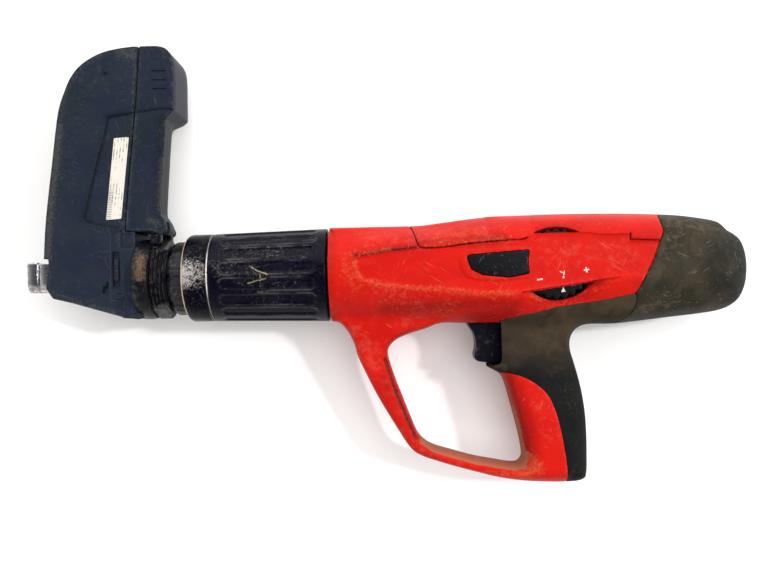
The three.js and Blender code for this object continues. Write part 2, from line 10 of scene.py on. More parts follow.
import bpy
import numpy as np
from mathutils import Matrix, Vector
from mathutils.geometry import delaunay_2d_cdt


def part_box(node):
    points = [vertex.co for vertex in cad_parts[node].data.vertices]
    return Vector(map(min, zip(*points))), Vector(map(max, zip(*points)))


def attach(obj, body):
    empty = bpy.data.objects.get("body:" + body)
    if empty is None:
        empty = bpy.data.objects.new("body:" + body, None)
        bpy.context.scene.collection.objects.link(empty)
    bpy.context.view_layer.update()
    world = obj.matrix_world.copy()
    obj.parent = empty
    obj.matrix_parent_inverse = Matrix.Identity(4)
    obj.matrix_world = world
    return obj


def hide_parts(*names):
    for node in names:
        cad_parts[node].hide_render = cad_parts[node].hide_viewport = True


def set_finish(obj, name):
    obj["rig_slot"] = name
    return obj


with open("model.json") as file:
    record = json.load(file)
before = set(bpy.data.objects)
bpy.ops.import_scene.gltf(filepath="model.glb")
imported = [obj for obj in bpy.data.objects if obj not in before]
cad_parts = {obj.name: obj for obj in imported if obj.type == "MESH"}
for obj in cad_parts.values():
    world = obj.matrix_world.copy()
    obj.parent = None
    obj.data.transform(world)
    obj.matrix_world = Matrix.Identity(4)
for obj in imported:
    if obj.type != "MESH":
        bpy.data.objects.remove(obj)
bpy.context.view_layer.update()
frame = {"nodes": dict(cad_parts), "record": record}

# ---- Frames and sizes -----------------------------------------------------------------
MM = 0.001
NOSE_FACE = 2.9  # the nosepiece's front face on the tool's X axis
NOSE_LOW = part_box("nosepiece")[0]
AXIS_LOW, AXIS_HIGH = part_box("piston")
ORIGIN = np.array([
    NOSE_LOW.x - NOSE_FACE * MM,
    (AXIS_LOW.y + AXIS_HIGH.y) / 2,
    (AXIS_LOW.z + AXIS_HIGH.z) / 2,
])

SIDE = 32.2  # half width of the housing
FRONT_RADIUS = 30.8  # of the housing's round front
WALL = 2.4  # thickness of the moulded shells
SLOT_GAP = 0.12  # each housing half stops this far from the middle plane
MAGAZINE_HALF = 18.0
CHANNEL_HALF = 4.6  # half width of the nail channel
HINGE = np.array([89, 36])  # the cover's hinge pin
HINGE_OPENING = math.radians(60)
BELLOWS_X = (87.0, 89.3, 91.6, 93.9)  # front of each ring of the swivel neck
NECK_FACE = 26.3  # radius over the corners of the neck's faceted casing
SLEEVE_FLUTES = 18
SLEEVE_RADIUS = 29.8  # where the flutes' width is measured
FLUTE_FRONT, FLUTE_BACK = 131.5, 193.2
FLUTE_HALF = 4.15
WHEEL_CENTRE = np.array([344.3, 3.0])
WHEEL_RADIUS = 22.5
SCREWS = [(219, 22), (219, -23), (283, -24.5), (386, 24), (372, -15)]


def row(points):
    """Tool-frame millimetres as row-frame metres."""
    return np.asarray(points, float) * MM + ORIGIN


# ---- Lines in the plane ---------------------------------------------------------------
def curve(points, step=1.5, closed=False):
    """A smooth line through the points. A point with a third value of 1 is a sharp corner."""
    flat = np.array([p[:2] for p in points], float)
    sharp = [len(p) > 2 and p[2] == 1 for p in points]
    count = len(flat)
    line = []
    for i in range(count if closed else count - 1):
        j = (i + 1) % count
        p1, p2 = flat[i], flat[j]
        first = sharp[i] or (not closed and i == 0)
        last = sharp[j] or (not closed and j == count - 1)
        p0 = p1 + p1 - p2 if first else flat[i - 1]
        p3 = p2 + p2 - p1 if last else flat[(j + 1) % count]
        t01, t12, t23 = (max(1e-6, np.linalg.norm(b - a)) ** 0.5 for a, b in ((p0, p1), (p1, p2), (p2, p3)))
        m1 = (p2 - p1) + t12 * ((p1 - p0) / t01 - (p2 - p0) / (t01 + t12))
        m2 = (p2 - p1) + t12 * ((p3 - p2) / t23 - (p3 - p1) / (t12 + t23))
        pieces = max(1, int(math.ceil(np.linalg.norm(p2 - p1) / step)))
        for k in range(pieces):
            t = k / pieces
            line.append((2 * t ** 3 - 3 * t ** 2 + 1) * p1 + (t ** 3 - 2 * t ** 2 + t) * m1
                        + (3 * t ** 2 - 2 * t ** 3) * p2 + (t ** 3 - t ** 2) * m2)
    if not closed:
        line.append(flat[-1])
    return np.array(line)


def rounded(corners, step=1.2):
    """A loop of [x, y] or [x, y, radius] corners with the rounded ones turned into arcs."""
    loop = []
    count = len(corners)
    flat = np.array([c[:2] for c in corners], float)
    for i, corner in enumerate(corners):
        radius = corner[2] if len(corner) > 2 else 0
        here, back, ahead = flat[i], flat[i - 1] - flat[i], flat[(i + 1) % count] - flat[i]
        lengths = np.linalg.norm(back), np.linalg.norm(ahead)
        cosine = np.clip(back @ ahead / (lengths[0] * lengths[1]), -1, 1)
        tangent = math.tan(math.acos(cosine) / 2)
        reach = min(radius / max(1e-6, tangent), 0.49 * lengths[0], 0.49 * lengths[1])
        if reach < 0.05:
            loop.append(here)
            continue
        start, end = here + back / lengths[0] * reach, here + ahead / lengths[1] * reach
        pieces = max(3, int(radius / step) + 2)
        for k in range(pieces + 1):
            t = k / pieces
            loop.append((1 - t) ** 2 * start + 2 * t * (1 - t) * here + t * t * end)
    return split(np.array(loop), step)


def split(loop, step):
    """The loop with its long edges cut into lengths of at most step."""
    out = []
    for a, b in zip(loop, np.roll(loop, -1, 0)):
        pieces = max(1, int(math.ceil(np.linalg.norm(b - a) / step)))
        out.extend(a + (b - a) * k / pieces for k in range(pieces))
    return np.array(out)


def nearest(points, line, closed=True):
    """Distance from each point to the line, and the nearest point on it."""
    start = line if closed else line[:-1]
    end = np.roll(line, -1, 0) if closed else line[1:]
    along = end - start
    length2 = np.maximum((along ** 2).sum(1), 1e-12)
    distance = np.empty(len(points))
    place = np.empty((len(points), 2))
    for i in range(0, len(points), 4000):
        p = points[i:i + 4000]
        t = (p @ along.T - (start * along).sum(1)) / length2
        t = np.clip(t, 0, 1)
        dx = start[:, 0] + t * along[:, 0] - p[:, :1]
        dy = start[:, 1] + t * along[:, 1] - p[:, 1:]
        gap = dx * dx + dy * dy
        k = gap.argmin(1)
        rows = np.arange(len(k))
        distance[i:i + 4000] = np.sqrt(gap[rows, k])
        place[i:i + 4000] = p + np.stack([dx[rows, k], dy[rows, k]], 1)
    return distance, place


def inside(points, loop):
    """Which points lie inside a closed loop."""
    x, y = points[:, 0], points[:, 1]
    hit = np.zeros(len(points), bool)
    for (ax, ay), (bx, by) in zip(loop, np.roll(loop, -1, 0)):
        if ay == by:
            continue
        crosses = (ay > y) != (by > y)
        hit ^= crosses & (x < (bx - ax) * (y - ay) / (by - ay) + ax)
    return hit


def signed(points, loop):
    """Distance to a closed loop, positive inside it."""
    distance = nearest(points, loop)[0]
    return np.where(inside(points, loop), distance, -distance)


def disc(x, y, radius, count=32):
    turn = np.linspace(0, 2 * math.pi, count, False)
    return np.stack([x + radius * np.cos(turn), y + radius * np.sin(turn)], 1)


def loop_area(loop):
    """Twice the area of a loop, positive when it runs anticlockwise."""
    return sum(a[0] * b[1] - a[1] * b[0] for a, b in zip(loop, np.roll(loop, -1, 0)))


def ease(low, high, value):
    """A smooth step from 0 at low to 1 at high."""
    t = np.clip((value - low) / (high - low), 0, 1)
    return t * t * (3 - 2 * t)


def offset(line, distance, closed=True):
    """The line moved sideways (to the left of its direction), without the parts that fold over."""
    ahead = np.roll(line, -1, 0) - line if closed else np.gradient(line, axis=0)
    if closed:
        ahead = ahead / np.linalg.norm(ahead, axis=1, keepdims=True)
        ahead = ahead + np.roll(ahead, 1, 0)
    normal = np.stack([-ahead[:, 1], ahead[:, 0]], 1)
    normal /= np.maximum(np.linalg.norm(normal, axis=1, keepdims=True), 1e-9)
    moved = line + normal * distance
    return moved[nearest(moved, line, closed)[0] > 0.97 * abs(distance)]


def both_ways(line, *distances, closed=True):
    """The line moved by each distance to one side and to the other."""
    return [offset(line, way * d, closed) for d in distances for way in (1, -1)]


# ---- Outline of the housing, cap and handle ---------------------------------------------
TOP_EDGE = [
    (201, 30.8, 1), (228, 30.75), (250, 30.6), (262, 30.9), (271, 31.9), (280, 32.9), (288, 33.9),
    (300, 35.2),
    (310, 35.8), (320, 36.1), (334, 36.3), (345, 36.4), (360, 36.4), (380, 36.1), (400, 35.5), (414, 34.8),
    (430, 33.6), (443.6, 31.6), (450, 30.4), (453.6, 29.3), (456.6, 26.8), (459.4, 24.2), (462.5, 22.5),
    (466, 19.9), (469, 15.8), (471, 10.6), (472.1, 5.2), (472.55, 0), (472.3, -6), (471.4, -12.4),
    (469.2, -19),
    (465.6, -24.8), (460.5, -28.4), (454, -30.3), (444, -31.7), (433, -32.8), (415, -34.5), (400, -36),
    (388, -37),
]
HANDLE_EDGE = [
    (368.5, -37.1), (364.2, -38.4), (360.5, -41), (358.2, -44.8), (357.4, -49.2), (357.8, -53.8),
    (359.5, -60),
    (362.7, -72.1), (365, -83.5), (366.5, -96.2), (366.98, -108.8), (366.9, -121.3), (366.5, -132.9),
    (365.4, -137.4), (361.6, -139.6), (351.5, -140.35), (339, -140.1), (329, -139.4), (316.5, -137.5),
    (304.1, -134.9), (291.6, -131.5), (279.1, -127.9), (266.6, -123.8), (259.1, -121.1), (252.9, -117.6),
    (248.4, -112.5), (244.2, -105.6), (237, -93.5), (229.8, -80.7), (222.6, -66.1), (217.3, -54),
    (215.6, -47.2),
    (213.6, -42), (210.6, -36.6), (207.4, -32.8), (204.6, -31.2), (201, -30.8, 1),
]
OUTLINE = curve(TOP_EDGE + HANDLE_EDGE, 1.5, closed=True)
WINDOW_EDGE = [
    (274.5, -33.4), (269, -34.5), (262.7, -36.9), (252.6, -39.8), (244.8, -42.8), (239.9, -46.5),
    (237.5, -50.9),
    (237.6, -54.8), (241.7, -68.9), (246.5, -82), (251.3, -94.8), (256.1, -106.2), (259.8, -110.9),
    (266, -114.8),
    (279.5, -119.2), (292.7, -123.1), (305, -125.7), (317, -127.7), (322, -127.3), (324.4, -124.1),
    (324.5, -119.7), (321.5, -103), (317.4, -86.2), (313.6, -72.4), (311, -68.2), (307.6, -66),
    (302.9, -63.4, 1),
]
WINDOW = curve(WINDOW_EDGE + [
    (303.5, -61.9, 1), (307.6, -61.2), (310, -59.6), (310.7, -56), (310.7, -46), (310.7, -33.4, 1),
    (288, -33.6),
], 1.5, closed=True)

# The same window as the handle's rounding sees it: the side by the trigger has no rounded edge.
WINDOW_ROUNDING = curve(WINDOW_EDGE + [
    (303.4, -61.4, 1), (305.2, -57), (305.8, -46), (305.6, -33, 1), (288, -33.2),
], 1.5, closed=True)

# The body without its handle, as an open line from the front round the rear and back.
BODY_EDGE = curve([(190, 30.8)] + TOP_EDGE + [
    (372, -37.0), (362, -37.4), (340, -37.6), (313, -36.6), (292, -35.6), (279, -34.2), (268, -33.9),
    (250, -33.4), (230, -32.6), (215, -31.6), (201, -30.8, 1), (190, -30.8),
], 3)

# ---- Seams between the moulded pieces: line, groove depth, half gap -------------------
CAP_SEAM = curve([
    (417.2, 37.5), (415.6, 34.6), (413, 32), (411.6, 29), (410.9, 25.5), (410.9, 22.4), (410, 19.4),
    (408.4, 14.8),
    (405.3, 6.3), (401.3, -2.1), (397.3, -9.6), (393.6, -16.9, 1),
], 1.4)
GRIP_TOP_SEAM = curve([
    (393.6, -16.9, 1), (381.8, -19.2), (369.2, -21.3), (356, -22.9), (344.1, -24.5), (334.5, -27),
    (320.2, -29.8),
    (312.4, -31.8), (309, -33.1), (306.4, -35.6),
], 1.4)
CAP_GRIP_SEAM = curve([
    (393.6, -16.9, 1), (394.9, -20.5), (394.9, -24.1), (393.7, -27.9), (391.9, -30.8), (389.8, -33.4),
    (388.4, -35.6), (387.6, -39),
], 1.4)
COVER_SEAM = curve([
    (252.6, 33.5), (253.4, 30.6), (255, 26.4), (257.6, 17.2), (258.6, 15.4), (260.8, 14.8), (273.5, 14.9),
    (286.6, 16.5), (300, 17.6), (314.8, 18.3), (323.4, 18.7), (325.4, 19.5),
], 1.4)
COVER_END_SEAM = curve([(325.4, 19.5), (327.4, 22.2), (330, 28), (333.2, 36), (334, 38.5)], 1.4)
GUARD_SEAM = curve([
    (202.6, -33.6), (206.4, -31.4), (218, -31.8), (252, -32.6), (264, -33.4), (270.6, -36.6),
], 1.4)
BASE_SEAM = curve([(322.2, -125), (322.2, -142)], 1.4)
FRONT_GRIP_SEAM = curve([
    (305.4, -66.9), (309.2, -67), (312.4, -66.6), (317.6, -67.3), (325, -69.6), (333.3, -74.7),
    (339.6, -81.1),
    (343.8, -89.9), (347.2, -102.5), (349.4, -114.9), (350.9, -127.5), (351.8, -140.4), (351.9, -143),
], 1.4)
NOTCH_SEAM = curve([(390.1, 20.9), (390, 16.9, 1), (408.1, 15.9)], 1.4)
SEAMS = [
    (CAP_SEAM, 0.6, 0.2), (GRIP_TOP_SEAM, 0.5, 0.16), (CAP_GRIP_SEAM, 0.5, 0.2), (COVER_SEAM, 0.7, 0.24),
    (COVER_END_SEAM, 0.1, 0.05), (GUARD_SEAM, 0.0, 0.02), (BASE_SEAM, 0.0, 0.02),
    (FRONT_GRIP_SEAM, 0.35, 0.12),
    (NOTCH_SEAM, 0.6, 0.02),
]

REGIONS = {  # loops that run along the seams and anywhere outside the outline
    "cap": np.vstack([CAP_SEAM, CAP_GRIP_SEAM[1:], [(480, -45), (480, 45)]]),
    "cover": np.vstack([COVER_SEAM, COVER_END_SEAM[1:], [(300, 45)]]),
    "overmould": np.vstack([
        CAP_GRIP_SEAM[::-1], GRIP_TOP_SEAM[1:], [(300, -50), (298, -64), (301, -67.2)], FRONT_GRIP_SEAM,
        [(380, -145), (380, -45)],
    ]),
    "guard": np.vstack([GUARD_SEAM, [(270, -60), (300, -110)], BASE_SEAM, [(200, -142), (190, -60)]]),
    "grip_front": np.vstack([FRONT_GRIP_SEAM[::-1], [(300, -62), (296, -100)], BASE_SEAM]),
}

# ---- Holes and raised or sunken areas on the side ------------------------------------
BUTTON_LOOP = rounded([
    (287.4, 9.4, 2.4), (327, 11.9, 1.2), (325.7, 6), (325.9, 1.5), (326.6, -2.5, 1.2), (314.3, -4.7, 8),
    (297.5, -2.7, 4), (290.6, 0.9, 3),
])
BUTTON_HOLE = rounded([
    (286.9, 9.9, 2.8), (327.5, 12.4, 1.4), (326.3, 6), (326.5, 1.5), (327.1, -3, 1.6), (314.3, -5.2, 8),
    (297.3, -3.2, 4), (290.2, 0.6, 3),
])
FLAT_EDGE = curve([(319.5, -13.9), (325.5, -13.2), (371, -7.2), (387, -5.1)], 1.4)
LOWER_HOLE = rounded([
    (326.6, -13.3, 0.5), (368.6, -7.75, 0.5), (366.6, -10.6, 2), (361, -15, 8), (355, -18.3, 10),
    (348, -20.3, 10),
    (341, -20.3, 10), (334.6, -18.3, 10), (329.6, -15.6, 3),
])
SCOOP = rounded([
    (319.5, -14.1, 1), (325.5, -13.4), (371, -7.4), (387, -5.3, 1), (380, -9.4), (371, -15.4, 10),
    (362, -20.4, 10),
    (354, -23, 10), (346.5, -23.7, 10), (338, -22.8, 10), (331, -20.2, 8), (325, -17, 4),
])
UPPER_HOLE = rounded([
    (329.2, 22.3, 0.4), (359.6, 22.3, 0.4), (356, 23.9, 3), (350.6, 25.6, 6), (344.3, 26.3, 8),
    (338, 25.6, 6),
    (332.6, 23.9, 3),
])
PANEL = rounded([
    (217.4, 9.6, 3), (238.2, 13.2), (257, 15), (273.5, 14.7), (286.6, 16.3), (314.8, 18.1), (326, 19),
    (329, 22.2),
    (364, 22.2), (370, 20.8), (390, 20.6, 1), (390.2, 16.3, 1), (414, 15.2), (400, -7), (387, -5.2),
    (371, -7.3),
    (325.5, -13.3), (318.6, -13.8), (296.6, -13.7), (272.6, -10.8), (249.7, -9), (232, -6.6, 8),
    (222.6, -4.4, 8),
    (218.4, 1, 6),
])
BUTTON_PAD = rounded([
    (289.6, 13.2, 4), (284, 10.8, 4), (282.4, 7.2, 3), (284, 0.4, 6), (287, -4.6, 5), (292.6, -6.2, 6),
    (305, -7.2),
    (316, -6.8), (328, -5.4), (336, -3), (336, 13.4), (320, 14.4),
])
SCREW_HOLES = [disc(x, y, 3.6, 24) for x, y in SCREWS]

# How far in from the edge the side rounds over, along the top and the bottom.
TOP_REACH = [(201, 20), (217, 20), (238, 16.8), (259, 15.4), (287, 17), (315, 17.4), (340, 15.3),
             (380, 15.3),
             (410, 15), (440, 16), (455, 19), (466, 23), (473, 25)]
BOTTOM_REACH = [(201, 27), (222, 26.6), (250, 23), (272, 22.8), (296, 21.6), (318, 21.6), (335, 24),
                (369, 29.7),
                (390, 30), (430, 29), (455, 27), (473, 25)]


def along(table, value):
    """Reads a table of (place, value) rows at any place."""
    return np.interp(value, [x for x, _ in table], [y for _, y in table])


def body_height(points):
    """The body: a round front that turns into a slab with rounded long edges."""
    x, y = points[:, 0], points[:, 1]
    to_body, foot = nearest(points, BODY_EDGE, closed=False)
    within = inside(points, np.vstack([BODY_EDGE, BODY_EDGE[:1]]))
    top, bottom = along(TOP_REACH, foot[:, 0]), along(BOTTOM_REACH, foot[:, 0])
    reach = bottom + (top - bottom) * ease(-15, 15, foot[:, 1])
    power = 1.55 + 0.25 * ease(405, 440, x)
    t = np.clip(to_body / reach, 0, 1)
    slab = SIDE * np.sqrt(np.maximum(0, 1 - (1 - t) ** power))
    circle = np.sqrt(np.maximum(0, FRONT_RADIUS ** 2 - y ** 2))
    body = circle + (slab - circle) * ease(201, 232, x)
    return np.where(within, body, -1.5 * to_body)


def handle_height(points, to_outline):
    """The handle: a bar with rounded edges, thin in the hoop and thick in the grip."""
    x, y = points[:, 0], points[:, 1]
    edge = np.minimum(to_outline, nearest(points, WINDOW_ROUNDING)[0])
    edge = np.where(inside(points, WINDOW_ROUNDING), 0, edge)
    half = 11.4 + 5.0 * ease(296, 330, x) + 5.4 * ease(-64, -26, y) * ease(300, 280, x)
    half = np.maximum(half, 16.2 * ease(298, 304, x) * ease(-72, -64, y))
    corner = 4.6 + 7.4 * ease(300, 335, x)
    t = np.clip(edge / corner, 0, 1)
    bend = 3.0 - 0.8 * ease(300, 335, x)
    return half * np.maximum(0, 1 - (1 - t) ** bend) ** (1 / bend)


def near_side_details(height, points):
    """Adds what only the near side has: a pad round the button, a scoop and a dip at the wheel."""
    x, y = points[:, 0], points[:, 1]
    height = height + 0.75 * ease(-0.1, 1.1, signed(points, BUTTON_PAD)) * ease(331, 318, x)
    to_flat = nearest(points, FLAT_EDGE, False)[0]
    arc = SCOOP[SCOOP[:, 1] < np.interp(SCOOP[:, 0], FLAT_EDGE[:, 0], FLAT_EDGE[:, 1]) - 0.35]
    to_arc = nearest(points, arc, False)[0]
    span = to_flat + to_arc
    share = to_flat / np.maximum(span, 1e-6)
    depth = 4.6 * (1 - share) * np.clip(span / 8, 0, 1) + 1.1 * ease(0, 0.9, to_arc)
    depth *= ease(389, 372, x)
    height = height - np.where(inside(points, SCOOP), depth, 0)
    above = y - 22.25
    dip = 2.3 * ease(-0.05, 0.05, above) * (1 - ease(0, 8.5, above))
    return height - dip * ease(326, 333, x) * ease(363, 356, x)


def side_height(points, camera_side):
    """Height of the side surface above the middle plane, and how far each point is from an edge."""
    x, y = points[:, 0], points[:, 1]
    to_outline = nearest(points, OUTLINE)[0]
    to_window = nearest(points, WINDOW)[0]
    rim = np.minimum(to_outline, to_window)

    body = body_height(points)
    handle = handle_height(points, to_outline)
    soft = 0.01 + (5.5 + 7.5 * ease(300, 330, x)) * ease(0, 6, rim)
    height = np.maximum(body, handle) + np.maximum(0, soft - np.abs(body - handle)) ** 2 / (4 * soft)

    # The cap stands a little proud, the side panel and a groove along the hoop are a little sunken.
    in_cap = inside(points, REGIONS["cap"])
    to_cap_seam = np.minimum(nearest(points, CAP_SEAM, False)[0], nearest(points, CAP_GRIP_SEAM, False)[0])
    height += np.where(in_cap, 0.55 * ease(0, 1.6, to_cap_seam) * ease(0, 5, rim), 0)
    height -= np.where(in_cap, 0, 0.8 * ease(-0.1, 0.9, signed(points, PANEL)))
    arm = np.abs(to_window - 3.3)
    height -= 0.55 * ease(0.9, 0.2, arm) * ease(262, 256, x) * ease(-52, -60, y) * ease(-112, -106, y)
    if camera_side:
        height = near_side_details(height, points)
    for line, groove, _ in SEAMS:
        if groove:
            near = nearest(points, line, False)[0]
            height -= groove * np.clip(1 - near / 0.9, 0, 1) ** 1.6 * ease(0, 1, rim)
    height = np.where(rim < 1e-4, np.where(height < 6, 0, height), np.maximum(height, 0.02))
    return height, rim


# ---- Meshes ---------------------------------------------------------------------------
def add_object(name, data):
    made = bpy.data.objects.new(name, data)
    bpy.context.scene.collection.objects.link(made)
    return made


def store(mesh, name, values):
    """Keeps one number per point, under a name that the materials read."""
    mesh.attributes.new(name, "FLOAT", "POINT").data.foreach_set("value", np.asarray(values, np.float32))


def piece(name, points, faces, body, nodes=(), slot=None, angle=35, wear_and_highlight=None):
    """A finished piece: a mesh in the row frame that moves with a CAD body and stands for CAD nodes."""
    mesh = bpy.data.meshes.new(name)
    mesh.from_pydata(row(points).tolist(), [], [list(map(int, f)) for f in faces])
    mesh.validate()
    mesh.update()
    mesh.polygons.foreach_set("use_smooth", [True] * len(mesh.polygons))
    if wear_and_highlight is not None:
        store(mesh, "wear_and_highlight", wear_and_highlight)
    mesh.set_sharp_from_angle(angle=math.radians(angle))
    made = add_object(name, mesh)
    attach(made, body)
    if nodes:
        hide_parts(*nodes)
    if slot:
        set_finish(made, slot)
    return made


def fill_plane(loops, lines, extra, cell):
    """Triangles over the plane that keep every loop and line as edges, with a hexagonal grid between."""
    kept = []
    edges = []
    for line, closed in [(loop, True) for loop in loops] + [(line, False) for line in lines]:
        first = len(kept)
        kept.extend(line.tolist())
        count = len(line)
        edges.extend((first + i, first + (i + 1) % count) for i in range(count if closed else count - 1))
    points = np.array(kept)
    low, high = points.min(0) - cell, points.max(0) + cell
    grid = []
    for j, y in enumerate(np.arange(low[1], high[1], cell * 0.866)):
        xs = np.arange(low[0] + (j % 2) * cell / 2, high[0], cell)
        grid.append(np.stack([xs, np.full(len(xs), y)], 1))
    candidates = np.vstack([np.array(extra)] + grid) if len(extra) else np.vstack(grid)
    spacing = np.r_[np.full(len(extra), 0.22), np.full(len(candidates) - len(extra), cell * 0.55)]
    cells = {}
    size = 1.6

    def cell_of(p):
        return int(p[0] // size), int(p[1] // size)

    def crowded(p, limit):
        cx, cy = cell_of(p)
        around = [(ix, iy) for ix in (cx - 1, cx, cx + 1) for iy in (cy - 1, cy, cy + 1)]
        near = (q for cell in around for q in cells.get(cell, ()))
        return any((p[0] - q[0]) ** 2 + (p[1] - q[1]) ** 2 < limit * limit for q in near)

    for p in kept:
        cells.setdefault(cell_of(p), []).append(p)
    for p, limit in zip(candidates.tolist(), spacing.tolist()):
        if not crowded(p, limit):
            cells.setdefault(cell_of(p), []).append(p)
            kept.append(p)
    result = delaunay_2d_cdt([Vector(p) for p in kept], edges, [], 0, 1e-5)
    return np.array([tuple(v) for v in result[0]]), np.array(result[2])


def border(faces):
    """Directed edges that only one face uses."""
    edges = np.vstack([faces[:, [0, 1]], faces[:, [1, 2]], faces[:, [2, 0]]])
    present = set(map(tuple, edges.tolist()))
    return [e for e in edges.tolist() if (e[1], e[0]) not in present]


def face_up(plane, faces):
    """Turns over, in place, the triangles that face down."""
    a, b, c = (plane[faces[:, k]] for k in range(3))
    flip = (b[:, 0] - a[:, 0]) * (c[:, 1] - a[:, 1]) - (b[:, 1] - a[:, 1]) * (c[:, 0] - a[:, 0]) < 0
    faces[flip] = faces[flip][:, ::-1]


def vertex_normals(points, faces):
    a, b, c = (points[faces[:, k]] for k in range(3))
    cross = np.cross(b - a, c - a)
    normal = np.zeros_like(points)
    for k in range(3):
        np.add.at(normal, faces[:, k], cross)
    return normal / np.maximum(np.linalg.norm(normal, axis=1, keepdims=True), 1e-12)


class Shell:
    """One moulded piece: an outer skin, the same skin moved inwards, and the rims between them."""

    def __init__(self):
        self.points, self.faces, self.wear_and_highlight = [], [], []
        self.known = {}

    def add(self, point, wear_and_highlight, key=None):
        """Adds a point, or finds the one already added with the same key."""
        if key is not None and key in self.known:
            return self.known[key]
        self.points.append(point)
        self.wear_and_highlight.append(wear_and_highlight)
        if key is not None:
            self.known[key] = len(self.points) - 1
        return len(self.points) - 1

    def skin(self, plane, faces, heights, normals, wear_and_highlight, sign, whole, shift):
        """Adds the skin on one side. whole pieces join at the middle plane, half pieces stop just short."""
        outer, inner = {}, {}
        for v in np.unique(faces).tolist():
            level = heights[v] < 1e-6
            n = normals[v].copy()
            n[2] *= sign
            z = heights[v] * sign
            if level and not whole:
                z = SLOT_GAP * sign
            at = np.array([plane[v, 0] + shift[v, 0], plane[v, 1] + shift[v, 1], z])
            middle = level and whole
            outer[v] = self.add(at, wear_and_highlight[v], ("outer", v) if middle else None)
            inward = at - n * WALL
            if level:
                inward[2] = z
            elif inward[2] * sign < 0.3:
                inward[2] = 0.3 * sign
            inner[v] = self.add(inward, 0, ("inner", v) if middle else None)
        for a, b, c in faces.tolist():
            if sign < 0:
                a, c = c, a
            self.faces.append((outer[a], outer[b], outer[c]))
            self.faces.append((inner[c], inner[b], inner[a]))
        for a, b in border(faces):
            if whole and heights[a] < 1e-6 and heights[b] < 1e-6:
                continue
            quad = (outer[b], outer[a], inner[a], inner[b])
            self.faces.append(quad if sign > 0 else quad[::-1])


def guide_points(lines):
    """Extra points beside every edge, seam and hole, where the height changes fast."""
    extra = []
    for loop in (OUTLINE, WINDOW):
        for ring in both_ways(loop, 0.08, 0.35, 0.85, 1.6, 2.6, 4.0, 5.6):
            extra.append(ring[ring[:, 0] > 203])
    for line in lines:
        extra.extend(both_ways(line, 0.35, 0.95, closed=False))
    for hole in (BUTTON_HOLE, LOWER_HOLE, UPPER_HOLE):
        extra.extend(both_ways(hole, 0.5))
    for area in (PANEL, BUTTON_PAD):
        extra.extend([area, *both_ways(area, 0.55, 1.2)])
    extra.extend([FLAT_EDGE + (0, 0.1), FLAT_EDGE - (0, 0.15), SCOOP, *both_ways(SCOOP, 0.8)])
    level = np.arange(325, 365, 1.2)
    for y in (22.15, 22.34):
        extra.append(np.stack([level, np.full(len(level), y)], 1))
    for x in (201.4, 202.2, 203.6):
        ys = FRONT_RADIUS * np.sin(np.linspace(-1.5, 1.5, 48))
        extra.append(np.stack([np.full(len(ys), x), ys], 1))
    extra = np.vstack(extra)
    return extra[inside(extra, OUTLINE) & ~inside(extra, WINDOW)]


def seam_values(plane):
    """The gap each point on a seam leaves, and the wear beside the seams and holes."""
    gap_of = np.zeros(len(plane))
    wear_and_highlight = np.zeros(len(plane))
    for line, _, gap in SEAMS:
        near = nearest(plane, line, False)[0]
        gap_of = np.where(near < 1e-3, np.maximum(gap_of, gap), gap_of)
        if gap > 0.1:
            wear_and_highlight = np.maximum(wear_and_highlight, np.exp(-near / 1.2))
    for hole in (BUTTON_HOLE, LOWER_HOLE):
        wear_and_highlight = np.maximum(wear_and_highlight, np.exp(-nearest(plane, hole)[0] / 1.2))
    return gap_of, wear_and_highlight


def build_rear_shells():
    """The housing halves, cover, cap, guard and grip as pieces of one common surface."""
    loops = [OUTLINE, WINDOW, BUTTON_HOLE, LOWER_HOLE, UPPER_HOLE] + SCREW_HOLES
    lines = [line for line, _, _ in SEAMS]
    plane, faces = fill_plane(loops, lines, guide_points(lines), 2.1)

    middle = plane[faces].mean(1)
    solid = inside(middle, OUTLINE) & ~inside(middle, WINDOW)
    faces, middle = faces[solid], middle[solid]
    face_up(plane, faces)
    region = np.full(len(faces), "housing", dtype="<U12")
    for name, loop in REGIONS.items():
        region[inside(middle, loop)] = name

    gap_of, seam_wear = seam_values(plane)
    sides = {}
    for sign in (1, -1):
        heights, rim = side_height(plane, sign > 0)
        surface = np.column_stack([plane, heights])
        normals = vertex_normals(surface, faces)
        flat = heights < 1e-6
        normals[flat, 2] = 0
        normals /= np.maximum(np.linalg.norm(normals, axis=1, keepdims=True), 1e-9)
        sides[sign] = heights, normals, np.maximum(seam_wear, np.exp(-rim / 2.5) * 0.5)

    holes = {1: [BUTTON_HOLE, LOWER_HOLE, UPPER_HOLE], -1: SCREW_HOLES}

    def shift_for(part_faces):
        """Moves the points on a seam a little into the piece, which leaves the gap."""
        shift = np.zeros((len(plane), 2))
        centre = plane[part_faces].mean(1)
        for k in range(3):
            np.add.at(shift, part_faces[:, k], centre - plane[part_faces[:, k]])
        shift /= np.maximum(np.linalg.norm(shift, axis=1, keepdims=True), 1e-9)
        return shift * gap_of[:, None]

    def make(name, part, signs, node, slot):
        whole = len(signs) == 2
        shell = Shell()
        for sign in signs:
            heights, normals, wear_and_highlight = sides[sign]
            chosen = region == part
            for hole in holes[sign]:
                chosen &= ~inside(middle, hole)
            part_faces = faces[chosen]
            shell.skin(plane, part_faces, heights, normals, wear_and_highlight, sign, whole, shift_for(part_faces))
        return piece(name, shell.points, shell.faces, "housing", [node], slot, angle=40, wear_and_highlight=shell.wear_and_highlight)

    return [
        make("housing_left_shell", "housing", [1], "housing_left", "red_plastic"),
        make("housing_right_shell", "housing", [-1], "housing_right", "red_plastic"),
        make("top_cover_shell", "cover", [1, -1], "top_cover", "red_plastic"),
        make("rear_cap_shell", "cap", [1, -1], "rear_cap", "cap_plastic"),
        make("trigger_guard_hoop", "guard", [1, -1], "trigger_guard", "red_plastic"),
        make("grip_front_shell", "grip_front", [1, -1], "grip_front", "red_plastic"),
        make("grip_overmould_skin", "overmould", [1, -1], "grip_overmould", "grip_rubber"),
    ]


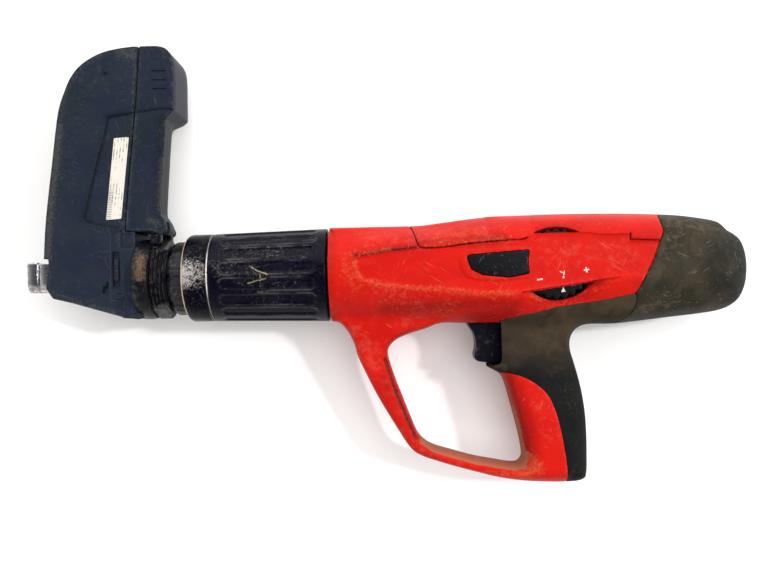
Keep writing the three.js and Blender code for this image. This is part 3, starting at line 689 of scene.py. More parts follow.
# ---- Solid pieces ---------------------------------------------------------------------
def plain_object(points, faces):
    """A throwaway object in tool-frame millimetres."""
    mesh = bpy.data.meshes.new("work")
    mesh.from_pydata([tuple(p) for p in points], [], [list(map(int, f)) for f in faces])
    return add_object("work", mesh)


def bake(made, *modifiers):
    """Applies modifiers, given as (type, settings), and returns the points and faces."""
    for kind, settings in modifiers:
        modifier = made.modifiers.new(kind, kind)
        for key, value in settings.items():
            setattr(modifier, key, value)
    mesh = made.evaluated_get(bpy.context.evaluated_depsgraph_get()).to_mesh()
    points = np.array([v.co[:] for v in mesh.vertices])
    faces = [list(p.vertices) for p in mesh.polygons]
    bpy.data.objects.remove(made)
    return points, faces


def prism(loop, low, high, bevel=0.0, segments=3):
    """A plate with an outline in the plane, between two heights, with its edges rounded."""
    count = len(loop)
    points = [(*p, low) for p in loop] + [(*p, high) for p in loop]
    faces = [list(range(count))[::-1], list(range(count, 2 * count))]
    faces += [[i, (i + 1) % count, count + (i + 1) % count, count + i] for i in range(count)]
    if loop_area(loop) < 0:
        faces = [f[::-1] for f in faces]
    if not bevel:
        return np.array(points), faces
    made = plain_object(points, faces)
    return bake(made, ("BEVEL", {"width": bevel, "segments": segments, "limit_method": "ANGLE",
                                 "angle_limit": math.radians(50)}))


def along_x(solid):
    """Turns a prism drawn in (Y, Z) and extruded in Z into one extruded along X."""
    points, faces = solid
    return points[:, [2, 0, 1]], faces


def joined(*solids):
    """Several solids as one, without welding them."""
    points, faces, first = [], [], 0
    for p, f in solids:
        points.append(p)
        faces.extend([[first + i for i in face] for face in f])
        first += len(p)
    return np.vstack(points), faces


def cut(solid, *cutters):
    """The solid with the cutters taken away."""
    made = plain_object(*solid)
    tools = [plain_object(*c) for c in cutters]
    steps = [("BOOLEAN", {"operation": "DIFFERENCE", "solver": "EXACT", "object": t}) for t in tools]
    result = bake(made, *steps)
    for t in tools:
        bpy.data.objects.remove(t)
    return result


def box_solid(low, high):
    loop = np.array([(low[0], low[1]), (high[0], low[1]), (high[0], high[1]), (low[0], high[1])], float)
    return prism(loop, low[2], high[2])


def lathe(profile, segments, radius=None):
    """A closed profile of (x, r) points turned round the barrel axis; radius(x, r, angle) can reshape it.

    The angle is 0 towards the camera side (+Z) and grows towards +Y.
    """
    profile = np.array(profile, float)
    turn = np.linspace(0, 2 * math.pi, segments, False)
    points = []
    for x, r in profile:
        shaped = radius(x, r, turn) if radius else np.full(segments, r)
        points.append(np.stack([np.full(segments, x), shaped * np.sin(turn), shaped * np.cos(turn)], 1))
    count = len(profile)
    faces = []
    for i in range(count):
        a, b = i * segments, ((i + 1) % count) * segments
        for k in range(segments):
            n = (k + 1) % segments
            faces.append([a + k, a + n, b + n, b + k])
    if loop_area(profile) < 0:
        faces = [f[::-1] for f in faces]
    return np.vstack(points), faces


def sheet_solid(loop, height, extra=()):
    """A plate whose two faces follow height(points, side), with upright walls round its outline."""
    loop = loop if loop_area(loop) > 0 else loop[::-1]
    more = np.vstack([offset(loop, d) for d in (0.2, 0.7, 1.5, 3.0)] + list(extra))
    more = more[inside(more, loop)]
    plane, faces = fill_plane([loop], [], more, 2.6)
    faces = faces[inside(plane[faces].mean(1), loop)]
    face_up(plane, faces)
    count = len(plane)
    points = np.vstack([np.column_stack([plane, height(plane, 1)]),
                        np.column_stack([plane, -height(plane, -1)])])
    all_faces = faces.tolist() + (faces[:, ::-1] + count).tolist()
    steps = 6
    levels = np.linspace(1, -1, steps + 1)
    wall = {}
    edge_points = []

    def at(v, k):
        """The point of the wall below vertex v, k steps down."""
        if k == 0:
            return v
        if k == steps:
            return v + count
        if (v, k) not in wall:
            top, bottom = points[v, 2], points[v + count, 2]
            z = bottom + (top - bottom) * (levels[k] + 1) / 2
            wall[v, k] = 2 * count + len(edge_points)
            edge_points.append((plane[v, 0], plane[v, 1], z))
        return wall[v, k]

    for a, b in border(faces):
        for k in range(steps):
            all_faces.append([at(b, k), at(a, k), at(a, k + 1), at(b, k + 1)])
    return np.vstack([points, np.array(edge_points)]), all_faces


# ---- Magazine -------------------------------------------------------------------------
BODY_LOOP = rounded([
    *curve([(17.6, 14.5), (19.4, 38), (24.4, 75.5), (29.6, 110.5), (33, 120.6), (37.4, 130.4),
            (44.2, 138.6),
            (56.6, 145.8), (68, 148.6), (78, 149.8)], 2).tolist(),
    (82, 149.6, 0.8), (79.1, 116.5), (75, 80), (70.8, 43), (70, 30.5, 0.6), (76.2, 30.5, 0.8),
    (76.2, -24.5, 1.5), (70.5, -24.6, 1), (66.5, -23.8, 1), (35.5, -14.4, 3), (22.8, -11.2, 3),
    (18.6, -4.5, 2),
    (20.6, 12, 1), (20.4, 14.5, 0.8),
])
COVER_LOOP = rounded([
    (82.5, 149.8, 0.8),
    *curve([(88, 149.8), (94.4, 149.6), (99.2, 148), (102.2, 144.4), (103.7, 139.4), (104.1, 133)],
           1.5).tolist(),
    (103.7, 108, 1.5),
    (98.6, 103.2, 2), (96.4, 80), (94.8, 60), (93.4, 41.5, 2.5), (96.6, 36.6, 3), (97.4, 31, 3.4),
    (94, 28.3, 2.4), (88, 30.6, 2), (70.6, 31.0, 0.5), (71.35, 43), (75.55, 80), (79.65, 116.5),
])
RECESS = rounded([
    (60.9, 104.8, 4), (78, 107.3), (95.2, 109.6, 1), (120, 108), (120, 20), (67, 20), (67, 32, 1),
    (48, 36.6, 4),
    (43.3, 38.4, 5), (52.5, 74), (57.6, 91),
])
LABEL = np.array([(58.4, 38.5), (68.2, 39.2), (74.4, 91.5), (64.8, 91)])
LOCK_SLOT = rounded([(62.3, -5.4, 2), (66.3, -5.4, 2), (66.3, 18, 2), (62.3, 18, 2)], 0.8)
RIDGE = curve([(60.4, -14), (60.6, 0.7), (61.4, 30.3), (62.2, 33)])
HOOK = rounded([
    (55.2, -9, 0.5), (56.4, -9, 0.3), (56.4, -5.6, 0.3), (59, -5.6, 0.3), (59, -0.8, 0.5),
    (57.9, -0.8, 0.3), (57.9, -4.4, 0.3), (55.2, -4.4, 0.3),
], 0.5)
SMALL_FRAME = rounded([(63.4, -12.9, 0.4), (69, -12.6, 0.4), (69, -9, 0.4), (63.4, -9.2, 0.4)], 0.6)
PIT = rounded([(59.2, 130.8, 0.4), (61.8, 130.9, 0.4), (61.7, 133.3, 0.4), (59.1, 133.2, 0.4)], 0.6)


def magazine_height(loop, radius):
    """The height of a magazine side: rounded edges, the sunken area and the small details."""
    def height(points, side):
        near = nearest(points, loop)[0]
        curve_in = radius - np.sqrt(np.maximum(0, radius ** 2 - np.maximum(0, radius - near) ** 2))
        z = MAGAZINE_HALF - curve_in
        in_recess = signed(points, RECESS)
        lip = 0.35 * ease(0.9, 0.2, np.abs(in_recess - 0.5))
        z -= (1.0 * ease(-0.15, 0.6, in_recess) + lip) * ease(0, 2.0, near)
        x, y = points[:, 0], points[:, 1]
        if side > 0:
            behind = x - np.interp(y, RIDGE[:, 1], RIDGE[:, 0])
            level = 0.45 * ease(-0.25, 0.25, behind) * ease(-24, -20, y)
            z -= level * ease(31.5, 30.5, y) * ease(0, 2, near)
            z -= 1.6 * ease(-0.15, 0.3, signed(points, LOCK_SLOT))
            z -= 1.2 * ease(-0.1, 0.25, signed(points, HOOK))
            z -= 0.6 * ease(-0.1, 0.25, signed(points, PIT))
            z -= 0.5 * ease(0.5, 0.2, np.abs(signed(points, SMALL_FRAME)))
        strip = np.interp(y, [14, 38, 75.5, 112, 125], [22.6, 24, 29.6, 35, 40])
        z -= 0.9 * ease(0.5, -0.5, x - strip) * ease(132, 116, y) * ease(8, 16, y) * ease(0, 0.8, near)
        return z
    return height


def edge_wear(points, loop, half):
    """1 on the edges of a plate, fading away from them."""
    near = nearest(points[:, :2], loop)[0]
    return np.exp(-np.sqrt(near ** 2 + np.maximum(0, half - 1.5 - np.abs(points[:, 2])) ** 2) / 1.6)


def magazine_body():
    around = [
        *both_ways(RECESS, 0.5), RECESS, LOCK_SLOT, offset(LOCK_SLOT, 0.5), offset(LOCK_SLOT, -0.4), HOOK,
        SMALL_FRAME, *both_ways(SMALL_FRAME, 0.5), RIDGE + (0.3, 0), RIDGE - (0.3, 0),
        *both_ways(HOOK, -0.3), PIT, *both_ways(PIT, 0.3),
    ]
    body = sheet_solid(BODY_LOOP, magazine_height(BODY_LOOP, 1.2), extra=around)
    channel_loop = np.array([(26.09, 9), (71, 9), (87, 136), (42.6, 136)])
    channel = prism(channel_loop, -CHANNEL_HALF, CHANNEL_HALF)
    bore = along_x(prism(disc(0, 0, 8.4), 10, 80))
    rim_loop = rounded([(67.4, -24.6, 0.6), (78.6, -25.7, 0.8), (78.8, -21.8, 0.8), (67.2, -20.6, 0.6)])
    solid = joined(cut(body, channel, bore), prism(rim_loop, -16.6, 17.4, 0.4))
    return piece("magazine_body_shell", *solid, "magazine", ["magazine_body"], "magazine_plastic",
                 wear_and_highlight=edge_wear(solid[0], BODY_LOOP, MAGAZINE_HALF))


def hinge_room():
    """The room the neck's two ears sweep through in the cover as it opens."""
    ear = rounded([(84.6, 22), (93.4, 22), (93.4, 36, 5), (89, 40.6, 4.4), (84.6, 36, 5)])
    c, s = math.cos(HINGE_OPENING), math.sin(HINGE_OPENING)
    open_ear = (ear - HINGE) @ np.array([[c, s], [-s, c]]) + HINGE
    swept = [HINGE + (16 * math.cos(t), 16 * math.sin(t)) for t in np.linspace(-1.75, -0.6, 8)]
    loops = (ear, np.array([HINGE] + swept), open_ear)
    return [prism(loop, low, high) for loop in loops for low, high in ((8.9, 15.4), (-15.4, -8.9))]


def magazine_cover(levels):
    """The cover, hollowed for the nails, slotted for its hinge and sunk behind the latch's grooves."""
    cover = sheet_solid(COVER_LOOP, magazine_height(COVER_LOOP, 1.1),
                        extra=[RECESS, *both_ways(RECESS, 0.5)])
    flat = cover[0]
    low = np.clip((2 - flat[:, 2]) / 20, 0, 1)
    waist = ease(84, 95, flat[:, 0]) * ease(24, 50, flat[:, 1]) ** 0.35 * ease(106, 101, flat[:, 1])
    flat[:, 0] -= 6.2 * low * waist
    room = prism(np.array([(60, 41), (84.5, 41), (92, 128), (80, 128)]), -CHANNEL_HALF, CHANNEL_HALF)
    pin = prism(disc(*HINGE, 2.4), -16.4, 16.4)
    pockets = [box_solid((90.1, max(y - 4.1, 118.9), 17.2), (99.5, y + 0.6, 20)) for y in levels]
    cover = cut(cover, room, *hinge_room(), pin, *pockets)
    return piece("magazine_cover_shell", *cover, "cover", ["magazine_cover"], "cover_plastic",
                 wear_and_highlight=edge_wear(cover[0], COVER_LOOP, MAGAZINE_HALF))


def build_magazine():
    levels = (133.2, 127.4, 121.8)
    grooves = [
        prism(rounded([(90.2, y - 0.55, 0.4), (99.4, y - 0.45, 0.4), (99.4, y + 0.45, 0.4),
                       (90.2, y + 0.55, 0.4)], 0.6), 17.3, 20)
        for y in levels
    ]
    pad = rounded([(88.6, 118.6, 1.5), (100.6, 118.4, 1.5), (100.8, 140, 1.5), (89.6, 140, 1.5)], 0.8)
    latch = cut(prism(pad, 17.6, 18.07, 0.05, 1), *grooves)
    rod = prism(disc(*HINGE, 2), -15.2, 15.2, 0.3)
    label = prism(rounded([(*p, 0.8) for p in LABEL], 2), 17.1, 17.32, 0.05, 1)
    knob = rounded([(62.9, -0.8, 1.4), (65.7, -0.8, 1.4), (65.7, 13.4, 1.4), (62.9, 13.4, 1.4)], 0.6)
    ribs = [box_solid((62.5, y, 17.6), (66.2, y + 0.5, 19)) for y in (2.5, 4.5, 6.5, 8.5)]
    lock = cut(prism(knob, 16.5, 18.05, 0.4), *ribs)
    return [
        magazine_body(),
        magazine_cover(levels),
        piece("cover_latch_pad", *latch, "latch", ["cover_latch"], "cover_plastic"),
        piece("cover_hinge_rod", *rod, "magazine", ["cover_hinge_pin"], "steel"),
        piece("rating_label_plate", *label, "magazine", ["rating_label"], "label_paper"),
        piece("magazine_lock_slider", *lock, "lock", ["magazine_lock"], "black_plastic"),
        build_hub(),
        build_nose(),
    ]


def build_hub():
    """The magazine's swivel neck: a worn flange, a faceted casing and, seen through it, bellows rings."""
    outline = [(76.1, 9), (76.1, 24.9), (76.6, 26.0), (77.6, 26.35), (81.4, 26.45), (84.6, 26.2),
               (85.8, 25.6),
               (86.3, 23.8)]
    crest = 24.4
    for x in BELLOWS_X:
        outline += [(x, crest - 1.9), (x + 0.25, crest - 0.5), (x + 0.7, crest), (x + 1.0, crest - 0.5),
                    (x + 1.25, crest - 1.9)]
        crest -= 0.75
    outline += [(96.5, 20.2), (96.5, 16.8), (76.8, 16.8), (76.8, 9)]

    def shaped(x, r, turn):
        if x < 86.4 or r < 17:
            return np.full(len(turn), float(r))
        from_side = np.abs(np.abs((turn + math.pi) % (2 * math.pi) - math.pi) - math.pi / 2)
        facet = NECK_FACE * math.cos(math.pi / 8) / np.cos((turn % (math.pi / 4)) - math.pi / 8)
        facet = np.minimum(facet, NECK_FACE) - 1.6 * ease(94.6, 96.5, x)
        return r + (facet - r) * ease(math.radians(43), math.radians(39), from_side)

    ring = lathe(outline, 192, shaped)
    far = np.hypot(ring[0][:, 1], ring[0][:, 2])
    along_axis = ring[0][:, 0]
    # The crests of the bellows rings get a lighter colour: painted highlights. The flange's edge gets the
    # same colour as wear.
    crests = (far > 24.15 - (along_axis - 87) * 0.326) & (along_axis > 86.6)
    worn = np.where(crests | ((along_axis > 76.2) & (along_axis < 77.8)), 1.0, 0.0)
    ear = rounded([(85.4, 22.5), (92.4, 22.5), (92.6, 36, 4.4), (89, 39.8, 4), (85.4, 36, 4.4)])
    core = along_x(prism(disc(0, 0, 17.2, 48), 70, 97.5))
    ears = [cut(prism(ear, low, high, 0.6), core) for low, high in ((9.5, 14.6), (-14.6, -9.5))]
    solid = joined(ring, *ears)
    worn = np.r_[worn, np.zeros(len(solid[0]) - len(worn))]
    return piece("swivel_neck", *solid, "magazine", ["swivel_hub"], "black_plastic", wear_and_highlight=worn)


def build_nose():
    """The contact tip: two flattened blocks with a gap between them, on a round stem."""
    section = np.array([
        (-7.4, 2.4), (-6.9, 5.4), (-5.4, 7.4), (-3.2, 8.6), (-0.6, 9), (11.8, 9), (12.8, 8),
    ])
    loop = np.vstack([section, section[::-1] * (1, -1)])
    thin = loop * (0.985, 0.955)
    front = along_x(prism(loop, NOSE_FACE, 9.6, 0.5))
    back = along_x(prism(thin, 11.0, 18.0, 0.4))
    neck = along_x(prism(thin * (0.97, 0.9), 9.0, 11.6))
    stem = along_x(prism(disc(0, 0, 8, 48), 17, 74, 0.3))
    bore = along_x(prism(disc(0, 0, 4.2, 32), -1, 90))
    slot = box_solid((28, 0, -2.6), (71, 10, 2.6))
    nose = joined(cut(front, bore), cut(back, bore), cut(neck, bore), cut(stem, bore, slot))
    return piece("nosepiece_block", *nose, "magazine", ["nosepiece"], "nose_steel")


# ---- Collar, ring and sleeve ----------------------------------------------------------
def build_collar():
    outline = [(97.2, 15.4), (97.2, 20.9), (97.8, 21.8), (99.6, 23.6), (100.4, 24.1), (101.4, 24.2),
               (104, 24.2),
               (106.5, 24.2), (113.6, 24.2), (114, 23.8), (114, 15.4)]

    def castellated(x, r, turn):
        if r < 17:
            return np.full(len(turn), float(r))
        notch = np.abs(((turn * 8 / (2 * math.pi) + 0.5) % 1) - 0.5) * 2 * math.pi * 24.2 / 8
        shallow = 0.55 * ease(1.5, 1.1, notch) * ease(113, 112, x)
        deep = 2.3 * ease(3.0, 2.5, notch) * ease(100.6, 99.4, x)
        rib = 0.35 * ease(0.8, 0.5, np.abs(notch - 5.4)) * ease(98, 101, x)
        return r - np.maximum(shallow, deep) - rib

    collar = lathe(outline, 384, castellated)
    # The front edge gets a lighter line in the material: a painted highlight.
    return piece("coupling_collar_ring", *collar, "collar", ["coupling_collar"], "black_plastic", angle=30,
                 wear_and_highlight=np.exp(-np.abs(collar[0][:, 0] - 100.4) / 0.8) * 0.9)


def build_ring():
    outline = [(107.5, 24.8), (107.5, 25.4), (107.75, 26.5), (108.4, 27.5), (109.3, 28.25), (110.5, 28.65),
               (112, 28.8), (117, 28.8), (122.5, 28.8), (122.8, 28.55), (123.1, 28.55), (123.4, 28.8),
               (124.3, 28.8), (124.7, 28.5), (124.7, 24.8)]
    return piece("front_ring_steel", *lathe(outline, 160), "sleeve", ["front_ring"], "ring_metal", angle=40)


def flute_depth(x, turn):
    """How far inside the outline of its flute a point of the sleeve lies, in mm."""
    across = np.abs(((turn * SLEEVE_FLUTES / (2 * math.pi)) % 1) - 0.5) * 2 * math.pi * SLEEVE_RADIUS
    beyond = np.maximum(0, np.maximum(FLUTE_FRONT + FLUTE_HALF - x, x - (FLUTE_BACK - FLUTE_HALF)))
    return FLUTE_HALF - np.hypot(across / SLEEVE_FLUTES, beyond)


def build_sleeve():
    start, end, front, back = 125.1, 199.5, 28.9, 30.7
    xs = [start, start + 0.15, start + 0.6, start + 1.4]
    xs += list(np.linspace(start + 2.5, end - 2.5, 64)) + [end - 1.4, end - 0.6, end - 0.15, end]
    edge = {start: 0.9, start + 0.15: 0.45, start + 0.6: 0.1, end - 0.6: 0.1, end - 0.15: 0.45, end: 0.9}
    outline = [(x, front + (back - front) * (x - start) / (end - start) - edge.get(x, 0)) for x in xs]
    outline += [(end, 22.6), (143, 22.6), (143, 24.8), (start, 24.8)]

    def fluted(x, r, turn):
        if r < 25:
            return np.full(len(turn), float(r))
        return r - 1.05 * ease(0, 1.9, flute_depth(x, turn))

    sleeve = lathe(outline, SLEEVE_FLUTES * 18, fluted)
    x, y, z = sleeve[0].T
    # Marks thin lines along the flutes' edges, which the material lightens: painted highlights.
    rim = np.abs(flute_depth(x, np.arctan2(y, z)) + 0.1)
    return piece("ribbed_sleeve_grip", *sleeve, "sleeve", ["ribbed_sleeve"], "sleeve_plastic", angle=50,
                 wear_and_highlight=ease(0.6, 0.15, rim) * ease(24, 26, np.hypot(y, z)))


# ---- Trigger, button, wheel, screws ---------------------------------------------------
def build_trigger():
    blade = curve([
        (300.6, -25.4), (305, -23.9), (309.6, -24.6), (310.9, -30), (311.1, -37), (311.8, -47.6),
        (312.0, -56),
        (310.8, -59.6), (307.5, -60.3), (299.2, -59.8), (295.2, -58.6), (294.2, -55.6), (295.2, -50.5),
        (295.1, -45), (293.6, -40), (291.2, -36.4), (290.0, -34.2, 1), (295, -30.4),
    ], 1.0, closed=True)
    blade = cut(prism(blade, -7, 7, 1.9, 5), prism(disc(305, -27, 1.92), -9, 9))
    return piece("trigger_blade", *blade, "trigger", ["trigger"], "black_plastic")


def build_button():
    stem = prism(disc(303, 4, 3.2, 24), 21, 31.5)
    plate = rounded([(289.2, 8, 2), (319.2, 10.2, 1), (319.2, -3.6, 1), (298, -1.6, 3), (292, 1.4, 2)])
    top = prism(BUTTON_LOOP, 31.4, 32.75, 0.75, 4)
    button = joined(top, prism(plate, 30.7, 31.6), stem)
    return piece("release_button_cap", *button, "button", ["release_button"], "black_plastic")


def build_wheel():
    """The toothed wheel: rings of points, each with an inset from the teeth or a radius, and a height."""
    teeth = 24
    turn = np.linspace(0, 2 * math.pi, teeth * 14, False)
    wave = (0.5 - 0.5 * np.cos(turn * teeth + 0.5)) ** 1.4
    rim = WHEEL_RADIUS - 0.05 - 1.75 * wave
    stations = [(None, 3.35, 28.5), (None, 12, 28.5), (None, 14, 28.75), (-2.6, None, 28.8),
                (-1.1, None, 28.7),
                (-0.3, None, 28.2), (0, None, 27.2), (0, None, 23), (-0.4, None, 21.8), (-1.4, None, 21.1),
                (None, 3.35, 21.05)]
    rings = []
    for inset, fixed, z in stations:
        r = np.full(len(turn), fixed) if fixed else rim + inset
        x, y = WHEEL_CENTRE[0] + r * np.cos(turn), WHEEL_CENTRE[1] + r * np.sin(turn)
        rings.append(np.stack([x, y, np.full(len(turn), z)], 1))
    count, n = len(stations), len(turn)
    faces = [
        [i * n + k, ((i + 1) % count) * n + k, ((i + 1) % count) * n + (k + 1) % n, i * n + (k + 1) % n]
        for i in range(count) for k in range(n)
    ]
    return piece("power_wheel_dial", np.vstack(rings), faces, "wheel", ["power_wheel"], "black_plastic")


def build_screws():
    """Five screws on the far side, each with its head just below the surface round it."""
    levels = side_height(np.array(SCREWS, float), False)[0] - 0.9
    made = []
    for number, ((x, y), level) in enumerate(zip(SCREWS, levels), 1):
        star = [(x + r * math.cos(a), y + r * math.sin(a)) for a, r in
                ((math.pi * k / 6 + 0.2, 1.75 if k % 2 else 1.15) for k in range(12))]
        head = prism(disc(x, y, 3.1, 32), -level, 2.4 - level, 0.35)
        head = cut(head, prism(np.array(star), -level - 1, 1.2 - level))
        shank = prism(disc(x, y, 1.45, 20), 1.9 - level, 20)
        made.append(piece(f"housing_screw_torx_{number}", *joined(head, shank), "housing",
                          [f"housing_screw_{number}"], "dark_steel"))
    return made


def build_marks():
    """The worn white minus, tick and plus beside the wheel window."""
    level = SIDE - 0.8
    tilt = 0.14
    strokes = {
        "minus": [(333.1, -6.7, 3.5, 0.8, tilt)],
        "tick": [(346.4, -2.4, 1.8, 0.7, -0.5), (348.2, -3.0, 0.6, 2.8, -0.2),
                 (347.8, -5.6, 0.9, 1.3, -0.15)],
        "plus": [(362.2, -1.4, 3.3, 0.8, tilt), (362.2, -1.4, 0.8, 3.3, tilt)],
    }
    made = []
    for name, bars in strokes.items():
        solids = []
        for number, (x, y, wide, tall, turn) in enumerate(bars):
            c, s = math.cos(turn), math.sin(turn)
            corners = [(-wide, -tall), (wide, -tall), (wide, tall), (-wide, tall)]
            loop = np.array([(x + (c * u - s * v) / 2, y + (s * u + c * v) / 2) for u, v in corners])
            solids.append(prism(loop, level - 0.3, level + 0.06 + 0.01 * number))
        made.append(piece(f"mark_{name}", *joined(*solids), "housing", slot="label_paper"))
    return made


def build_controls():
    arrow = np.array([(346.7, -15.0), (349.5, -14.8), (348.1, -11.7)])
    return [
        build_trigger(),
        build_button(),
        build_wheel(),
        piece("dial_arrow", *prism(arrow, 28.6, 28.92), "wheel", slot="label_paper"),
        *build_screws(),
        *build_marks(),
    ]


# ---- Soft patches painted on the pieces -----------------------------------------------
# Each patch is (strength, reach in mm, line in the plane). They are broken up by noise in the materials.
PANEL_LOW = [(218, 8), (217.6, 2), (222.6, -4.4), (232, -7.2), (249.7, -9.8), (272.6, -11.6),
             (296.6, -14.6), (318, -15)]
RED_PATCHES = {
    "dust": [
        (0.85, 2.6, PANEL_LOW), (0.6, 5.5, [(213, 10), (212, 2), (218, -8)]),
        (0.45, 9, [(236, -17), (256, -20)]),
        (0.55, 4, [(268, -24), (281, -19), (276, -28)]),
        (0.75, 2.4, [(216, 11.2), (226, 12.6), (240, 14.6)]),
        (0.7, 2.2, [(262, 16.8), (286, 18.3), (310, 19.4)]), (0.5, 5, [(270, 22), (300, 24)]),
        (1.1, 5, [(328, -122), (332, -128), (322, -132)]), (0.8, 3, [(300, -131), (318, -134)]),
        (0.75, 3.0, [(303, -133), (326, -134), (334, -131)]),
        (0.55, 2, [(325, -121), (318, -88), (313, -70)]),
        (0.5, 3.2, [(326, -15), (336, -22), (347, -24.4), (360, -22)]), (0.4, 3, [(368, -14), (380, -8)]),
        (0.35, 3, [(207, -30), (204, -24)]),
    ],
    "fade_and_light": [
        (0.6, 9, [(226, 22), (262, 22)]), (0.75, 7, [(262, 24), (300, 24)]),
        (0.5, 14, [(340, 10), (385, 8)]), (0.5, 8, [(238, -70), (250, -98), (262, -112)]),
        (0.7, 8, [(250, -31), (259, -26)]), (0.5, 5, [(226, -10), (246, -13)]),
        (0.4, 7, [(332, -85), (340, -108)]),
        # The second patch below lightens the top of the hoop, where the body shades it: painted light.
        (0.55, 4, [(245, -100), (252, -114), (290, -128)]), (0.75, 8, [(212, -37), (222, -46), (230, -60)]),
    ],
    # Painted shade, with a little grime on the hoop: dark lines in the seams, along the panel's upper edge
    # and in the hoop's groove, darker creases and window edges, and darker lower slopes and grip front.
    "shade_and_grime": [
        (0.9, 1.6, [(217, 11.8), (238, 14.6), (258, 16.6)]),
        (0.7, 2.4, [(256, 17.4), (280, 18.6), (312, 20)]),
        (0.75, 4.5, [(236, -22), (262, -23), (290, -21), (318, -22)]), (0.8, 5.5, [(290, -29), (316, -27)]),
        (0.9, 2.2, [(240, -60), (252, -95), (258, -109)]), (1.0, 8, [(313, -74), (319, -98), (324, -118)]),
        (0.45, 3, [(202.5, 26), (202.5, -26)]), (0.4, 8, [(236, -70), (250, -102), (264, -116)]),
        (0.55, 3, [(252, -38), (244, -42), (239, -50)]),
        (0.6, 1.6, [(243, -104), (252, -117), (272, -125.4)]),
        (0.8, 2.0, [(355, 24), (344, 26), (333, 24)]),
        (0.8, 2.0, [(371, -8), (362, -17), (350, -22), (338, -20), (328, -14.6)]),
        (2.2, 0.42, COVER_SEAM), (2.2, 0.5, [(218.6, 10.7), (238.2, 13.5), (256.6, 15.4)]),
        (2.2, 0.42, NOTCH_SEAM),
        (2.4, 0.75, [(235.4, -55.6), (239.4, -69.7), (244.2, -82.9), (249.1, -95.7), (253.9, -107.3)]),
    ],
    "mark": [
        (1.5, 2.1,
         [(258.6, -110), (266, -115.4), (292.7, -123.8), (317, -128.4), (323.6, -127.4), (325.4, -120)]),
        (0.9, 1.2, [(325, -118), (321.8, -102), (318.4, -90)]),
    ],
}
